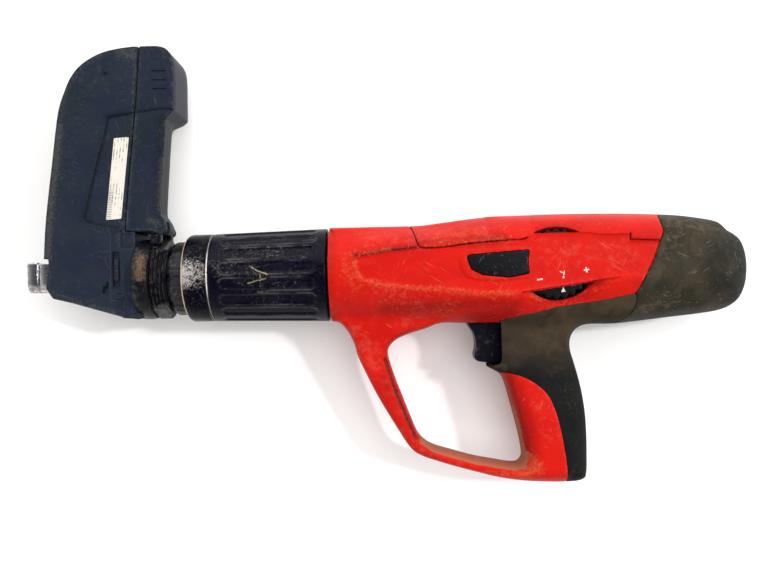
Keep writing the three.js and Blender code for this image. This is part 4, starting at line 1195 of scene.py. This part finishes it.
DARK_PATCHES = {
    "rear_cap_shell": {
        "dust": [(0.7, 9, [(418, 30), (436, 27)]), (0.55, 10, [(412, 10), (420, 22)]),
                 (0.5, 8, [(400, -26), (420, -25)])],
        # Darker at the rounded rear end and along the bottom: painted shade, with some grime.
        "shade_and_grime": [(1.4, 17, [(462, 16), (466, -16)]), (0.6, 8, [(434, 4), (444, -16)]),
                  (0.7, 6, [(400, -35), (440, -33)]),
                  (0.5, 7, [(420, -2), (412, -14)])],
        "fade_and_light": [(0.5, 9, [(438, 12), (452, 24)])],
    },
    "grip_overmould_skin": {
        "dust": [(0.9, 9, [(330, -37), (352, -36)]), (0.9, 3.5, [(306, -62.4), (312, -62)]),
                 (0.6, 6, [(386, -27), (378, -29)]),
                 (0.5, 9, [(342, -52), (350, -66)]), (0.5, 9, [(352, -134), (364, -134)])],
        # Darker under the housing and towards the grip's rear edge: painted shade, with some grime.
        "shade_and_grime": [(0.8, 8, [(318, -32), (334, -30), (352, -27)]), (0.7, 12, [(352, -88), (362, -122)]),
                  (0.6, 6, [(366, -34), (384, -35)]), (0.5, 6, [(322, -60), (338, -76)])],
        "fade_and_light": [(0.45, 8, [(352, -78), (356, -92)]), (0.35, 6, [(356, -110), (358, -124)])],
    },
    "magazine_body_shell": {
        "dust": [(1.0, 3.2, [(20, 16), (22, 38), (27, 75), (30, 100)]),
                 (0.6, 2.6, [(30, 100), (34, 122), (46, 139), (60, 146)]),
                 (0.9, 5, [(70, 146), (79, 144)]), (0.7, 2.2, [(24, -8), (36, -12), (62, -20.5)]),
                 (0.5, 3, [(80, 130), (79, 116)]),
                 (0.3, 8, [(34, 70), (44, 110)]), (0.35, 5, [(68, -20), (75, -22)])],
        "fade_and_light": [(0.5, 12, [(50, 128), (70, 132)]), (0.35, 8, [(30, 20), (32, 60)]),
                 (0.3, 10, [(40, 0), (56, -8)]),
                 (0.35, 3, [(58, 33), (70, 34)])],
        # Dark lines along the sunken area's edge and in the hook, pit and lock slot: painted shade in steps
        # and hollows, with some grime.
        "shade_and_grime": [(0.6, 4, [(66, -20), (75, -10)]), (1.6, 1.2, [(56.4, -7), (58, -3)]),
                  (1.4, 1.2, [(60, 132), (61, 132)]),
                  (1.6, 0.5, [(62.3, -5), (62.3, 18)]),
                  (0.8, 1.1,
                   [(67, 31.8), (49, 36.2), (44, 38.4), (44, 41), (58, 92), (61.4, 104.6), (78, 107)])],
    },
    "magazine_cover_shell": {
        "dust": [(0.5, 2.6, [(97, 148), (103, 140)]), (0.8, 3.2, [(93, 46), (95.5, 76)]),
                 (0.85, 3, [(86, 38), (92, 35)]),
                 (0.4, 2.6, [(98, 101), (102, 106)]), (0.35, 3, [(82, 140), (81, 118)])],
        "fade_and_light": [(0.4, 9, [(92, 128), (88, 142)]), (0.3, 8, [(84, 80), (80, 52)])],
        "shade_and_grime": [(0.7, 2.6, [(96, 104), (92, 46)])],
    },
    "cover_latch_pad": {"dust": [(0.3, 2, [(90, 138), (100, 138)])],
                        "fade_and_light": [(0.4, 6, [(95, 130), (95, 130)])]},
    "swivel_neck": {
        "dust": [(1.15, 3.9, [(82, 13), (81.6, 1)]), (0.25, 3, [(80, -4), (84, -10)]),
                 (0.3, 2, [(91, -18), (94, -22)])],
        "shade_and_grime": [(0.8, 3, [(88.5, 22), (88.5, -22)])],
    },
    "coupling_collar_ring": {"dust": [(0.4, 1.6, [(99, -16), (97.6, 4), (99, 16)]),
                                      (0.4, 2, [(104, -17), (108, -20)])],
                             "fade_and_light": [(1.3, 6, [(106, 12), (106, -12)])]},
    "ribbed_sleeve_grip": {
        "dust": [(0.8, 9, [(134, 8), (150, 4)]), (0.6, 11, [(140, 14), (172, 16)]),
                 (0.5, 9, [(150, -4), (178, -2)]),
                 (0.5, 6, [(190, 22), (186, 12)]), (0.35, 8, [(150, -14), (186, -18)])],
        "mark": [(1.05, 0.6, [(151.5, 6.5), (157, 3), (163.4, 0.8)]),
                 (1.05, 0.65, [(162, -1.8), (156.6, -2.8), (150.3, -4.6)]),
                 (1.0, 0.6, [(158.6, 1), (159.1, -10.2)]),
                 (0.75, 0.45, [(156.4, -9.8), (159.6, -10.6), (163.1, -10)]),
                 (0.7, 0.5, [(144, -3.6), (149, -6.4)]), (0.6, 0.4, [(142, 9), (147, 8.4), (152, 5.6)]),
                 (0.7, 0.45, [(184.8, 22.1), (190, 22.5), (194.4, 23.1)]),
                 (0.6, 0.5, [(178, 16.4), (186, 15.2)]),
                 (0.55, 0.5, [(140, 12.4), (148, 12)]), (0.5, 0.5, [(136, 14), (139, 13.4)]),
                 (0.6, 0.45, [(163, -18.6), (194, -19.8)]), (0.5, 0.45, [(131, -8), (141, -7.4)]),
                 (0.5, 0.5, [(152, 20.2), (156, 21.4)]), (0.5, 0.45, [(184, -25.6), (192, -26.6)])],
    },
    "magazine_lock_slider": {"fade_and_light": [(1.2, 12, [(64, 0), (64, 14)])]},
    "trigger_blade": {"fade_and_light": [(0.5, 2.5, [(297, -57), (297.6, -44), (294, -37)])]},
    "release_button_cap": {"shade_and_grime": [(0.85, 30, [(300, 4), (320, 5)])],
                           "dust": [(0.25, 0.6, [(300, -2.6), (314, -4), (324, -2.8)])]},
    "power_wheel_dial": {"shade_and_grime": [(1.4, 40, [(336, -18), (352, 20)])]},
    "nosepiece_block": {"dust": [(0.9, 1.6, [(3, -6.6), (18, -6.6)]), (0.4, 2, [(4, 11), (4, -2)])]},
}


def paint(made, patches):
    """Stores the soft patches of a piece as point attributes."""
    mesh = made.data
    flat = np.empty(len(mesh.vertices) * 3)
    mesh.vertices.foreach_get("co", flat)
    plane = ((flat.reshape(-1, 3) - ORIGIN) / MM)[:, :2]
    for name in ("dust", "fade_and_light", "shade_and_grime", "mark"):
        value = np.zeros(len(plane))
        for strength, reach, line in patches.get(name, ()):
            gap = nearest(plane, np.array(line, float), closed=False)[0]
            value = np.maximum(value, strength * np.exp(-(gap / reach) ** 2))
        store(mesh, name, value)
    if "wear_and_highlight" not in mesh.attributes:
        store(mesh, "wear_and_highlight", np.zeros(len(plane)))


# ---- Materials ------------------------------------------------------------------------
def tone(*screen):
    """A colour on the 0 to 255 screen scale, as linear light."""
    return tuple(((v / 255 + 0.055) / 1.055) ** 2.4 if v > 10 else v / 255 / 12.92 for v in screen)


class Look:
    """One material: a Principled shader whose colour, roughness and relief are layered from patterns.

    Patterns are measured in tool-frame millimetres.
    """

    def __init__(self, name, colour, rough, metallic=0.0, specular=0.5):
        self.material = bpy.data.materials.new(name)
        self.material.use_nodes = True
        self.tree = self.material.node_tree
        self.shader = self.tree.nodes["Principled BSDF"]
        self.shader.inputs["Metallic"].default_value = metallic
        self.shader.inputs["Specular IOR Level"].default_value = specular
        local = self.node("ShaderNodeTexCoord").outputs["Object"]
        scaled = self.node("ShaderNodeVectorMath", local, operation="SCALE")
        scaled.inputs["Scale"].default_value = 1 / MM
        self.place = self.node("ShaderNodeVectorMath", scaled.outputs[0], tuple(-ORIGIN / MM)).outputs[0]
        self.colour = (*tone(*colour), 1)
        self.rough = rough
        self.height = None
        self.metallic = None

    def node(self, kind, *inputs, **settings):
        made = self.tree.nodes.new(kind)
        for key, value in settings.items():
            setattr(made, key, value)
        for socket, value in zip(made.inputs, inputs):
            self.feed(socket, value)
        return made

    def feed(self, socket, value):
        if isinstance(value, bpy.types.NodeSocket):
            self.tree.links.new(value, socket)
        elif value is not None:
            socket.default_value = value

    def math(self, operation, a, b=None):
        return self.node("ShaderNodeMath", a, b, operation=operation).outputs[0]

    def between(self, value, low, high, start=0.0, end=1.0):
        """A smooth step of the value."""
        made = self.node("ShaderNodeMapRange", value, low, high, start, end,
                         interpolation_type="SMOOTHSTEP")
        return made.outputs[0]

    def noise(self, size, detail, stretch=(1, 1, 1), seed=0.0, rough=0.55):
        """Noise with features of the given size, stretched along the axes."""
        shift = (seed * 17.3, seed * 7.7, seed * 3.1)
        scale = tuple(1 / (size * s) for s in stretch)
        mapped = self.node("ShaderNodeMapping", self.place, shift, (0, 0, 0), scale)
        made = self.node("ShaderNodeTexNoise", mapped.outputs[0])
        made.inputs["Scale"].default_value = 1
        made.inputs["Detail"].default_value = detail
        made.inputs["Roughness"].default_value = rough
        return made.outputs["Fac"]

    def scratches(self, turn, length, width, amount, seed):
        """Thin broken lines in one direction. amount, from 0 to 1, is how many."""
        spin = self.node("ShaderNodeVectorRotate", self.place, (0, 0, 0), (0, 0, 1), -turn).outputs[0]
        scale = self.node("ShaderNodeVectorMath", spin, (1 / length, 1 / (3 * width), 0.6 / (3 * width)),
                          operation="MULTIPLY").outputs[0]
        shifted = self.node("ShaderNodeVectorMath", scale, (seed * 5.1, seed * 3.7, seed * 1.9)).outputs[0]
        lines = self.node("ShaderNodeTexNoise", shifted)
        lines.inputs["Scale"].default_value = 1
        lines.inputs["Detail"].default_value = 1.0
        level = 0.72 - 0.14 * amount
        return self.between(lines.outputs["Fac"], level, level + 0.035)

    def blotches(self, low, high, *shape, **more):
        """Soft-edged areas, where noise of a given shape rises from the low level to the high one."""
        return self.between(self.noise(*shape, **more), low, high)

    def scratch_groups(self, number, turn, length, width, amount, size, high=0.62):
        """Scratches gathered in groups of the given size."""
        lines = self.scratches(turn, length, width, amount, 10 + number)
        return self.both(lines, self.blotches(0.5, high, size, 2, seed=20 + number))

    def attribute(self, name):
        """The number stored per point under this name."""
        return self.node("ShaderNodeAttribute", attribute_name=name).outputs["Fac"]

    def broken(self, name, size, seed):
        """A painted patch that breaks up into specks towards its edge."""
        grain = self.noise(size, 6, seed=seed, rough=0.7)
        return self.between(self.plus(self.both(self.attribute(name), 0.32), grain), 0.6, 0.86)

    def shade(self, name, size, seed):
        """A painted patch with a smooth, slightly uneven strength."""
        return self.both(self.attribute(name),
                         self.between(self.noise(size, 4, seed=seed), 0.25, 0.6, 0.6, 1.0))

    def both(self, a, b):
        return self.math("MULTIPLY", a, b)

    def plus(self, a, b):
        return self.math("ADD", a, b)

    def tint(self, colour, mask, amount=1.0, rough=None, metallic=None):
        """Lays a colour over the ones so far where the mask is 1."""
        factor = self.node("ShaderNodeMath", mask, amount, operation="MULTIPLY", use_clamp=True).outputs[0]
        mix = self.node("ShaderNodeMix", data_type="RGBA")
        self.feed(mix.inputs["Factor"], factor)
        self.feed(mix.inputs[6], self.colour)
        self.feed(mix.inputs[7], (*tone(*colour), 1))
        self.colour = mix.outputs[2]
        if rough is not None:
            self.rough = self.mixed(self.rough, rough, factor)
        if metallic is not None:
            self.metallic = self.mixed(self.metallic or 0.0, metallic, factor)

    def mixed(self, a, b, factor):
        mix = self.node("ShaderNodeMix", data_type="FLOAT")
        self.feed(mix.inputs["Factor"], factor)
        self.feed(mix.inputs[2], a)
        self.feed(mix.inputs[3], b)
        return mix.outputs[0]

    def relief(self, value, depth):
        """Adds to the bump height, in mm."""
        step = self.both(value, depth * MM)
        self.height = self.plus(self.height, step) if self.height else step

    def done(self):
        self.feed(self.shader.inputs["Base Color"], self.colour)
        self.feed(self.shader.inputs["Roughness"], self.rough)
        if self.metallic is not None:
            self.feed(self.shader.inputs["Metallic"], self.metallic)
        if self.height is not None:
            bump = self.node("ShaderNodeBump")
            bump.inputs["Strength"].default_value = 1.0
            bump.inputs["Distance"].default_value = 1.0
            self.feed(bump.inputs["Height"], self.height)
            self.feed(self.shader.inputs["Normal"], bump.outputs[0])
        return self.material


def red_plastic():
    look = Look("red_plastic", (185, 20, 10), 0.44, specular=0.1)
    look.tint((168, 13, 9), look.blotches(0.42, 0.62, 26, 3, seed=1), 0.55)
    look.tint((184, 36, 26), look.blotches(0.52, 0.7, 7, 5, seed=2), 0.3, rough=0.5)
    # Faded, paler red; at the top of the hoop this is painted light.
    look.tint((186, 62, 50), look.broken("fade_and_light", 4, 3), 0.6, rough=0.58)
    # Painted shade with some grime: darker seams, creases, edges, lower slopes and grip front.
    look.tint((74, 6, 4), look.shade("shade_and_grime", 3, 4), 0.62, rough=0.5)
    dust = look.broken("dust", 2.2, 5)
    look.tint((180, 82, 50), dust, 0.42, rough=0.75)
    look.tint((160, 112, 80), look.both(dust, look.blotches(0.56, 0.66, 1.6, 4, seed=6)), 0.5)
    speck = look.blotches(0.70, 0.75, 1.3, 3, seed=7)
    look.tint((196, 100, 74), look.both(speck, look.blotches(0.45, 0.6, 18, 2, seed=8)), 0.6, rough=0.7)
    sets = [(0.15, 14, 0.42), (1.1, 9, 0.36), (-0.7, 10, 0.36), (2.6, 16, 0.36)]
    for number, (turn, length, amount) in enumerate(sets):
        lines = look.scratch_groups(number, turn, length, 0.32, amount, 22)
        look.tint((202, 84, 68) if number % 2 else (124, 12, 9), lines, 0.36, rough=0.55)
        look.relief(lines, -0.03)
    edge = look.both(look.attribute("wear_and_highlight"), look.blotches(0.5, 0.62, 3, 4, seed=30))
    look.tint((184, 60, 46), edge, 0.5, rough=0.55)
    mud = look.plus(look.attribute("mark"), look.both(look.noise(2.4, 5, seed=32), 0.9))
    look.tint((146, 98, 74), look.between(mud, 0.9, 1.25), 0.8, rough=0.8)
    look.relief(look.noise(0.7, 2, seed=31), 0.02)
    look.relief(dust, 0.03)
    return look.done()


def cap_plastic():
    look = Look("cap_plastic", (55, 49, 39), 0.62, specular=0.08)
    look.tint((36, 35, 27), look.blotches(0.4, 0.62, 17, 3, (1, 1.8, 1), seed=1), 0.8)
    look.tint((76, 66, 52), look.blotches(0.46, 0.7, 12, 4, (1, 1.8, 1), seed=2), 0.55)
    # Painted shade with some grime: darker at the rear end and along the bottom.
    look.tint((26, 29, 28), look.shade("shade_and_grime", 4, 3), 0.7)
    look.tint((92, 81, 65), look.broken("dust", 5, 4), 0.55, rough=0.8)
    look.tint((64, 64, 56), look.broken("fade_and_light", 3, 5), 0.4)
    speck = look.blotches(0.68, 0.75, 1.1, 3, seed=6)
    look.tint((108, 98, 82), speck, 0.4)
    for number, turn in enumerate((0.5, 1.9, -0.4)):
        lines = look.scratch_groups(number, turn, 9, 0.3, 0.4, 14, 0.6)
        look.tint((112, 104, 92), lines, 0.45)
    look.relief(look.noise(0.55, 2, seed=31), 0.05)
    return look.done()


def grip_rubber():
    look = Look("grip_rubber", (23, 24, 24), 0.7, specular=0.06)
    look.tint((17, 19, 20), look.blotches(0.44, 0.6, 20, 3, seed=1), 0.7)
    look.tint((66, 56, 43), look.broken("dust", 6, 2), 0.6, rough=0.85)
    # Painted shade with some grime: darker under the housing and towards the rear edge.
    look.tint((20, 19, 17), look.shade("shade_and_grime", 4, 3), 0.65)
    look.tint((66, 66, 62), look.broken("fade_and_light", 1.6, 4), 0.35)
    height = look.node("ShaderNodeSeparateXYZ", look.place).outputs["Y"]
    upper = look.between(look.plus(height, look.both(look.noise(22, 3, seed=5), 22)), -60, -32)
    look.tint((56, 47, 36), upper, 0.8)
    look.tint((74, 63, 49), look.both(upper, look.blotches(0.42, 0.7, 15, 3, seed=7)), 0.55)
    look.tint((28, 25, 21), look.both(upper, look.blotches(0.45, 0.68, 16, 3, seed=8)), 0.6)
    look.tint((80, 71, 58), look.blotches(0.69, 0.77, 1.2, 3, seed=6), 0.22)
    look.relief(look.noise(0.5, 2, seed=31), 0.06)
    return look.done()


def magazine_look(name, base, second):
    look = Look(name, base, 0.46, specular=0.1)
    look.tint(second, look.blotches(0.44, 0.6, 20, 3, seed=1), 0.7)
    look.tint((24, 34, 38), look.blotches(0.5, 0.62, 34, 2, seed=8), 0.6)
    look.tint((50, 56, 60), look.broken("fade_and_light", 4, 2), 0.5, rough=0.6)
    # Painted shade in steps and hollows, with some grime.
    look.tint((12, 13, 17), look.shade("shade_and_grime", 1.5, 3), 0.7)
    dust = look.broken("dust", 1.6, 4)
    look.tint((68, 68, 62), dust, 0.55, rough=0.75)
    look.tint((88, 74, 60), look.both(dust, look.blotches(0.54, 0.66, 4, 3, seed=5)), 0.18)
    edge = look.both(look.attribute("wear_and_highlight"), look.blotches(0.48, 0.62, 2.2, 4, seed=6))
    look.tint((70, 72, 72), edge, 0.5, rough=0.6)
    speck = look.blotches(0.69, 0.75, 1.2, 3, seed=7)
    look.tint((88, 92, 94), speck, 0.3)
    for number, (turn, length) in enumerate([(1.4, 16), (0.3, 9), (-0.6, 8), (1.9, 12)]):
        lines = look.scratch_groups(number, turn, length, 0.28, 0.4, 18)
        look.tint((80, 86, 92), lines, 0.2, rough=0.6)
    look.relief(look.noise(0.45, 2, seed=31), 0.035)
    return look.done()


def black_plastic():
    look = Look("black_plastic", (9, 9, 18), 0.36, specular=0.16)
    look.tint((16, 16, 26), look.blotches(0.5, 0.66, 6, 4, seed=1), 0.6, rough=0.45)
    look.tint((50, 48, 54), look.broken("fade_and_light", 3, 2), 0.5, rough=0.5)
    dust = look.broken("dust", 1.6, 3)
    look.tint((96, 74, 56), dust, 0.7, rough=0.6)
    look.tint((128, 108, 86), look.both(dust, look.blotches(0.56, 0.66, 1.4, 4, seed=4)), 0.5)
    look.tint((5, 5, 7), look.shade("shade_and_grime", 3, 5), 0.75, rough=0.6)
    # Lighter on the neck's ring crests and the collar's front edge: painted highlights; lighter at the
    # neck's flange: wear.
    look.tint((64, 62, 60), look.both(look.attribute("wear_and_highlight"), look.blotches(0.4, 0.6, 3, 4, seed=7)), 0.6)
    look.tint((92, 89, 86), look.blotches(0.70, 0.75, 0.9, 3, seed=6), 0.35)
    for number, turn in enumerate((0.2, 1.3, -0.9)):
        lines = look.scratch_groups(number, turn, 6, 0.25, 0.4, 9)
        look.tint((92, 90, 90), lines, 0.5)
    look.relief(look.noise(0.5, 2, seed=31), 0.03)
    return look.done()


def sleeve_plastic():
    look = Look("sleeve_plastic", (5, 5, 17), 0.27, specular=0.08)
    look.tint((11, 10, 23), look.blotches(0.42, 0.6, 14, 3, seed=1), 0.6, rough=0.34)
    look.tint((32, 30, 40), look.broken("dust", 3, 2), 0.4, rough=0.4)
    cluster = look.between(look.attribute("dust"), 0.1, 0.8)
    near = look.plus(look.both(cluster, 0.85), 0.08)
    sets = [(0.05, 5, 0.22, 0.5), (1.5, 3.4, 0.22, 0.5), (0.8, 4, 0.22, 0.5), (-0.7, 4, 0.22, 0.5),
            (0.4, 7, 0.2, 0.46)]
    for number, (turn, length, width, amount) in enumerate(sets):
        lines = look.both(look.scratches(turn, length, width, amount, 10 + number),
                          look.blotches(0.46, 0.6, 7, 3, seed=20 + number))
        colour = (128, 120, 104) if number % 2 else (116, 114, 122)
        look.tint(colour, look.both(lines, near), 0.55, rough=0.5)
        look.relief(lines, -0.02)
    speck = look.blotches(0.68, 0.74, 0.9, 2, seed=27)
    look.tint((128, 120, 102), look.both(speck, look.blotches(0.5, 0.62, 9, 2, seed=28)), 0.4)
    # Lighter lines along the flutes' edges: painted highlights.
    edge = look.both(look.attribute("wear_and_highlight"), look.blotches(0.44, 0.6, 6, 5, (3, 1, 1), seed=30))
    look.tint((84, 82, 84), edge, 0.5, rough=0.45)
    mark = look.plus(look.attribute("mark"), look.both(look.noise(1.3, 5, seed=29, rough=0.75), 1.6))
    look.tint((150, 144, 112), look.between(mark, 1.3, 1.85), 0.8, rough=0.55)
    look.relief(look.noise(1.1, 2, seed=31), 0.02)
    return look.done()


def ring_metal():
    look = Look("ring_metal", (3, 4, 13), 0.25, specular=0.05)
    x, y, _ = look.node("ShaderNodeSeparateXYZ", look.place).outputs
    across = look.between(look.math("ABSOLUTE", look.math("SUBTRACT", y, 2.5)), 19, 2)
    forward = look.between(x, 124, 109)
    ahead = look.both(across, look.plus(look.both(forward, 0.35), 0.65))
    worn = look.plus(look.both(ahead, 0.42), look.noise(0.7, 5, seed=1, rough=0.8))
    worn = look.plus(worn, look.between(look.noise(2.4, 3, seed=2), 0.3, 0.6, -0.06, 0.08))
    look.tint((188, 183, 178), look.between(worn, 0.79, 1.0), 0.92, rough=0.45, metallic=0.5)
    few = look.plus(look.noise(0.8, 4, seed=3, rough=0.7), look.both(forward, 0.04))
    spread = look.plus(look.both(across, 0.85), 0.15)
    specks = look.both(look.between(few, 0.69, 0.75), spread)
    look.tint((140, 135, 128), specks, 0.7, rough=0.4, metallic=0.5)
    edge = look.between(look.plus(x, look.both(look.noise(3, 3, seed=4), 1.4)), 109.9, 109.0)
    look.tint((232, 206, 184), edge, 0.9, rough=0.4, metallic=0.2)
    middle = look.between(look.math("ABSOLUTE", look.math("SUBTRACT", y, 2.0)), 16, 9, 0.25, 1.0)
    rear = look.both(look.between(x, 124.0, 124.3), look.blotches(0.3, 0.44, 3, 3, seed=5))
    look.tint((226, 218, 210), look.both(rear, middle), 0.85, rough=0.4, metallic=0.2)
    for number, turn in enumerate((0.1, 1.4, 0.8)):
        lines = look.both(look.scratches(turn, 4, 0.2, 0.4, 10 + number), spread)
        look.tint((150, 146, 140), lines, 0.5, metallic=0.5)
    look.relief(look.noise(0.8, 3, seed=31), 0.03)
    return look.done()


def metal(name, colour, second, rough, dusty=False, brushed=(1, 1, 1)):
    """Machined or plated metal: brushed grain, blotches and small dents."""
    look = Look(name, colour, rough, metallic=1.0)
    look.tint(second, look.blotches(0.45, 0.68, 5, 5, seed=1), 0.7, rough=min(1, rough + 0.15))
    look.tint(second, look.blotches(0.5, 0.7, 1.2, 2, brushed, seed=2), 0.4)
    look.tint((60, 52, 44), look.blotches(0.64, 0.72, 2.2, 5, seed=3), 0.6, rough=0.6)
    if dusty:
        look.tint((148, 104, 70), look.broken("dust", 1.8, 4), 0.8, rough=0.5)
        look.tint((70, 62, 56), look.shade("shade_and_grime", 1.8, 5), 0.6)
    look.relief(look.noise(0.6, 2, brushed, seed=31), 0.02)
    return look.done()


def buffer_rubber():
    look = Look("buffer_rubber", (26, 25, 24), 0.75, specular=0.25)
    look.tint((52, 46, 40), look.blotches(0.5, 0.66, 5, 5, seed=1), 0.5)
    look.relief(look.noise(0.6, 2, seed=31), 0.05)
    return look.done()


def label_paper():
    """White printed film with faint grey rules and dirt; there is no lettering."""
    look = Look("label_paper", (200, 197, 186), 0.5, specular=0.15)
    x, y, _ = look.node("ShaderNodeSeparateXYZ", look.place).outputs
    left = look.plus(look.both(look.math("SUBTRACT", y, 38.5), 0.121), 58.4)
    across = look.math("DIVIDE", look.math("SUBTRACT", x, left), 9.7)
    on_label = look.both(look.between(y, 37.9, 38.3), look.between(x, 80, 79))
    from_rule = look.math("SUBTRACT", look.math("FRACT", look.both(across, 5)), 0.5)
    rule = look.between(look.math("ABSOLUTE", from_rule), 0.2, 0.12)
    breaks = look.blotches(0.46, 0.52, 2.2, 2, (0.55, 1, 1), seed=1)
    words = look.both(look.both(rule, breaks), look.blotches(0.42, 0.5, 17, 1, (0.6, 1, 1), seed=2))
    look.tint((96, 96, 99), look.both(words, on_label), 0.8)
    bars = look.between(look.math("FRACT", look.both(y, 0.9)), 0.4, 0.6)
    corner = look.both(look.between(across, 0.34, 0.3), look.between(y, 58, 57))
    look.tint((70, 70, 72), look.both(look.both(bars, corner), on_label), 0.6)
    look.tint((176, 164, 146), look.blotches(0.56, 0.7, 3, 5, seed=3), 0.45, rough=0.6)
    look.relief(look.noise(0.8, 2, seed=31), 0.01)
    return look.done()


def build_materials():
    return {
        "red_plastic": red_plastic(),
        "cap_plastic": cap_plastic(),
        "grip_rubber": grip_rubber(),
        "magazine_plastic": magazine_look("magazine_plastic", (29, 36, 47), (23, 31, 46)),
        "cover_plastic": magazine_look("cover_plastic", (27, 33, 46), (21, 28, 43)),
        "black_plastic": black_plastic(),
        "sleeve_plastic": sleeve_plastic(),
        "ring_metal": ring_metal(),
        "nose_steel": metal("nose_steel", (206, 208, 212), (150, 150, 154), 0.22, dusty=True,
                            brushed=(8, 1, 1)),
        "steel": metal("steel", (176, 178, 182), (130, 130, 132), 0.34, brushed=(8, 1, 1)),
        "dark_steel": metal("dark_steel", (86, 88, 92), (56, 57, 60), 0.45),
        "guide_brass": metal("guide_brass", (176, 142, 84), (120, 92, 52), 0.36, brushed=(6, 1, 1)),
        "buffer_rubber": buffer_rubber(),
        "label_paper": label_paper(),
    }


def dress(pieces, materials):
    """Gives every piece and every CAD node that still shows the material of its slot."""
    for made in pieces:
        patches = RED_PATCHES if made["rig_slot"] == "red_plastic" else DARK_PATCHES.get(made.name, {})
        paint(made, patches)
        made.data.materials.clear()
        made.data.materials.append(materials[made["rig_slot"]])
    for entry in frame["record"]["subparts"]:
        node = frame["nodes"][entry["node"]]
        if not node.hide_render:
            node.data.materials.clear()
            node.data.materials.append(materials[entry["material_slot"]])


# ---- Camera, floor and light ----------------------------------------------------------
CAMERA_POINT = (235.8, -9.9)
CAMERA_HEIGHT = 490
CAMERA_ROLL = math.radians(1.45)
CAMERA_LENS = 34.5
SENSOR_WIDTH = 36
FLOOR_HALF = 4  # metres
WORLD_STRENGTH = 1.2
WARM_WHITE = (1.0, 0.975, 0.955, 1)


def build_world(scene):
    """A studio: bright round the horizon and towards +Y, darker overhead where the camera is."""
    world = bpy.data.worlds.new("studio")
    world.use_nodes = True
    tree = world.node_tree
    background = tree.nodes["Background"]
    place = tree.nodes.new("ShaderNodeTexCoord")
    parts = tree.nodes.new("ShaderNodeSeparateXYZ")
    ramp = tree.nodes.new("ShaderNodeValToRGB")
    side = tree.nodes.new("ShaderNodeMapRange")
    tree.links.new(place.outputs["Generated"], parts.inputs[0])
    tree.links.new(parts.outputs["Z"], ramp.inputs[0])
    tree.links.new(parts.outputs["Y"], side.inputs["Value"])
    side.inputs["From Min"].default_value = -0.8
    side.inputs["From Max"].default_value = 0.8
    side.inputs["To Min"].default_value = WORLD_STRENGTH * 0.5
    side.inputs["To Max"].default_value = WORLD_STRENGTH * 1.42
    tree.links.new(ramp.outputs[0], background.inputs[0])
    tree.links.new(side.outputs[0], background.inputs[1])
    stops = ramp.color_ramp.elements
    stops[0].position, stops[0].color = 0.0, WARM_WHITE
    stops[1].position, stops[1].color = 0.88, (0.07, 0.07, 0.075, 1)
    middle = stops.new(0.66)
    middle.color = WARM_WHITE
    scene.world = world


def sun(name, towards, strength, spread, colour, glints=True):
    """A lamp far away in the given direction; without glints it isn't seen in reflections."""
    light = bpy.data.lights.new(name, "SUN")
    light.energy = strength
    light.angle = math.radians(spread)
    light.color = colour
    lamp = add_object(name, light)
    lamp.visible_glossy = glints
    lamp.rotation_euler = Vector(towards).to_track_quat("Z", "Y").to_euler()


def build_camera(scene):
    camera = bpy.data.cameras.new("camera")
    camera.lens = CAMERA_LENS
    camera.sensor_width = SENSOR_WIDTH
    camera.clip_start = 0.01
    camera.clip_end = 20
    holder = add_object("camera", camera)
    place = row([(*CAMERA_POINT, CAMERA_HEIGHT)])[0]
    holder.matrix_world = Matrix.Translation(place) @ Matrix.Rotation(-CAMERA_ROLL, 4, "Z")
    scene.camera = holder


def build_floor():
    mesh = bpy.data.meshes.new("floor")
    corners = [(x * FLOOR_HALF, y * FLOOR_HALF, 0) for x, y in ((-1, -1), (1, -1), (1, 1), (-1, 1))]
    mesh.from_pydata(corners, [], [(0, 1, 2, 3)])
    floor = add_object("floor", mesh)
    paper = Look("floor_paper", (226, 226, 226), 0.9, specular=0.2)
    paper.tint((223, 223, 223), paper.noise(40, 3, seed=1), 0.5)
    paper.shader.inputs["Emission Color"].default_value = (1.0, 0.975, 0.96, 1)
    paper.shader.inputs["Emission Strength"].default_value = 0.12
    mesh.materials.append(paper.done())


def build_stage():
    scene = bpy.context.scene
    build_camera(scene)
    build_floor()
    build_world(scene)
    sun("key", (0.66, 0.17, 0.73), 1.55, 5, (1.0, 1.0, 1.0))
    sun("top", (0.0, 0.85, 0.75), 0.45, 40, (1.0, 1.0, 1.0))
    sun("overhead", (0.15, 0.1, 1.0), 1.7, 50, (1.0, 0.99, 0.98), glints=False)
    scene.view_settings.view_transform = "Standard"


# ---- Assembly -------------------------------------------------------------------------
pieces = [
    *build_rear_shells(),
    *build_magazine(),
    build_collar(),
    build_ring(),
    build_sleeve(),
    *build_controls(),
]
dress(pieces, build_materials())
build_stage()
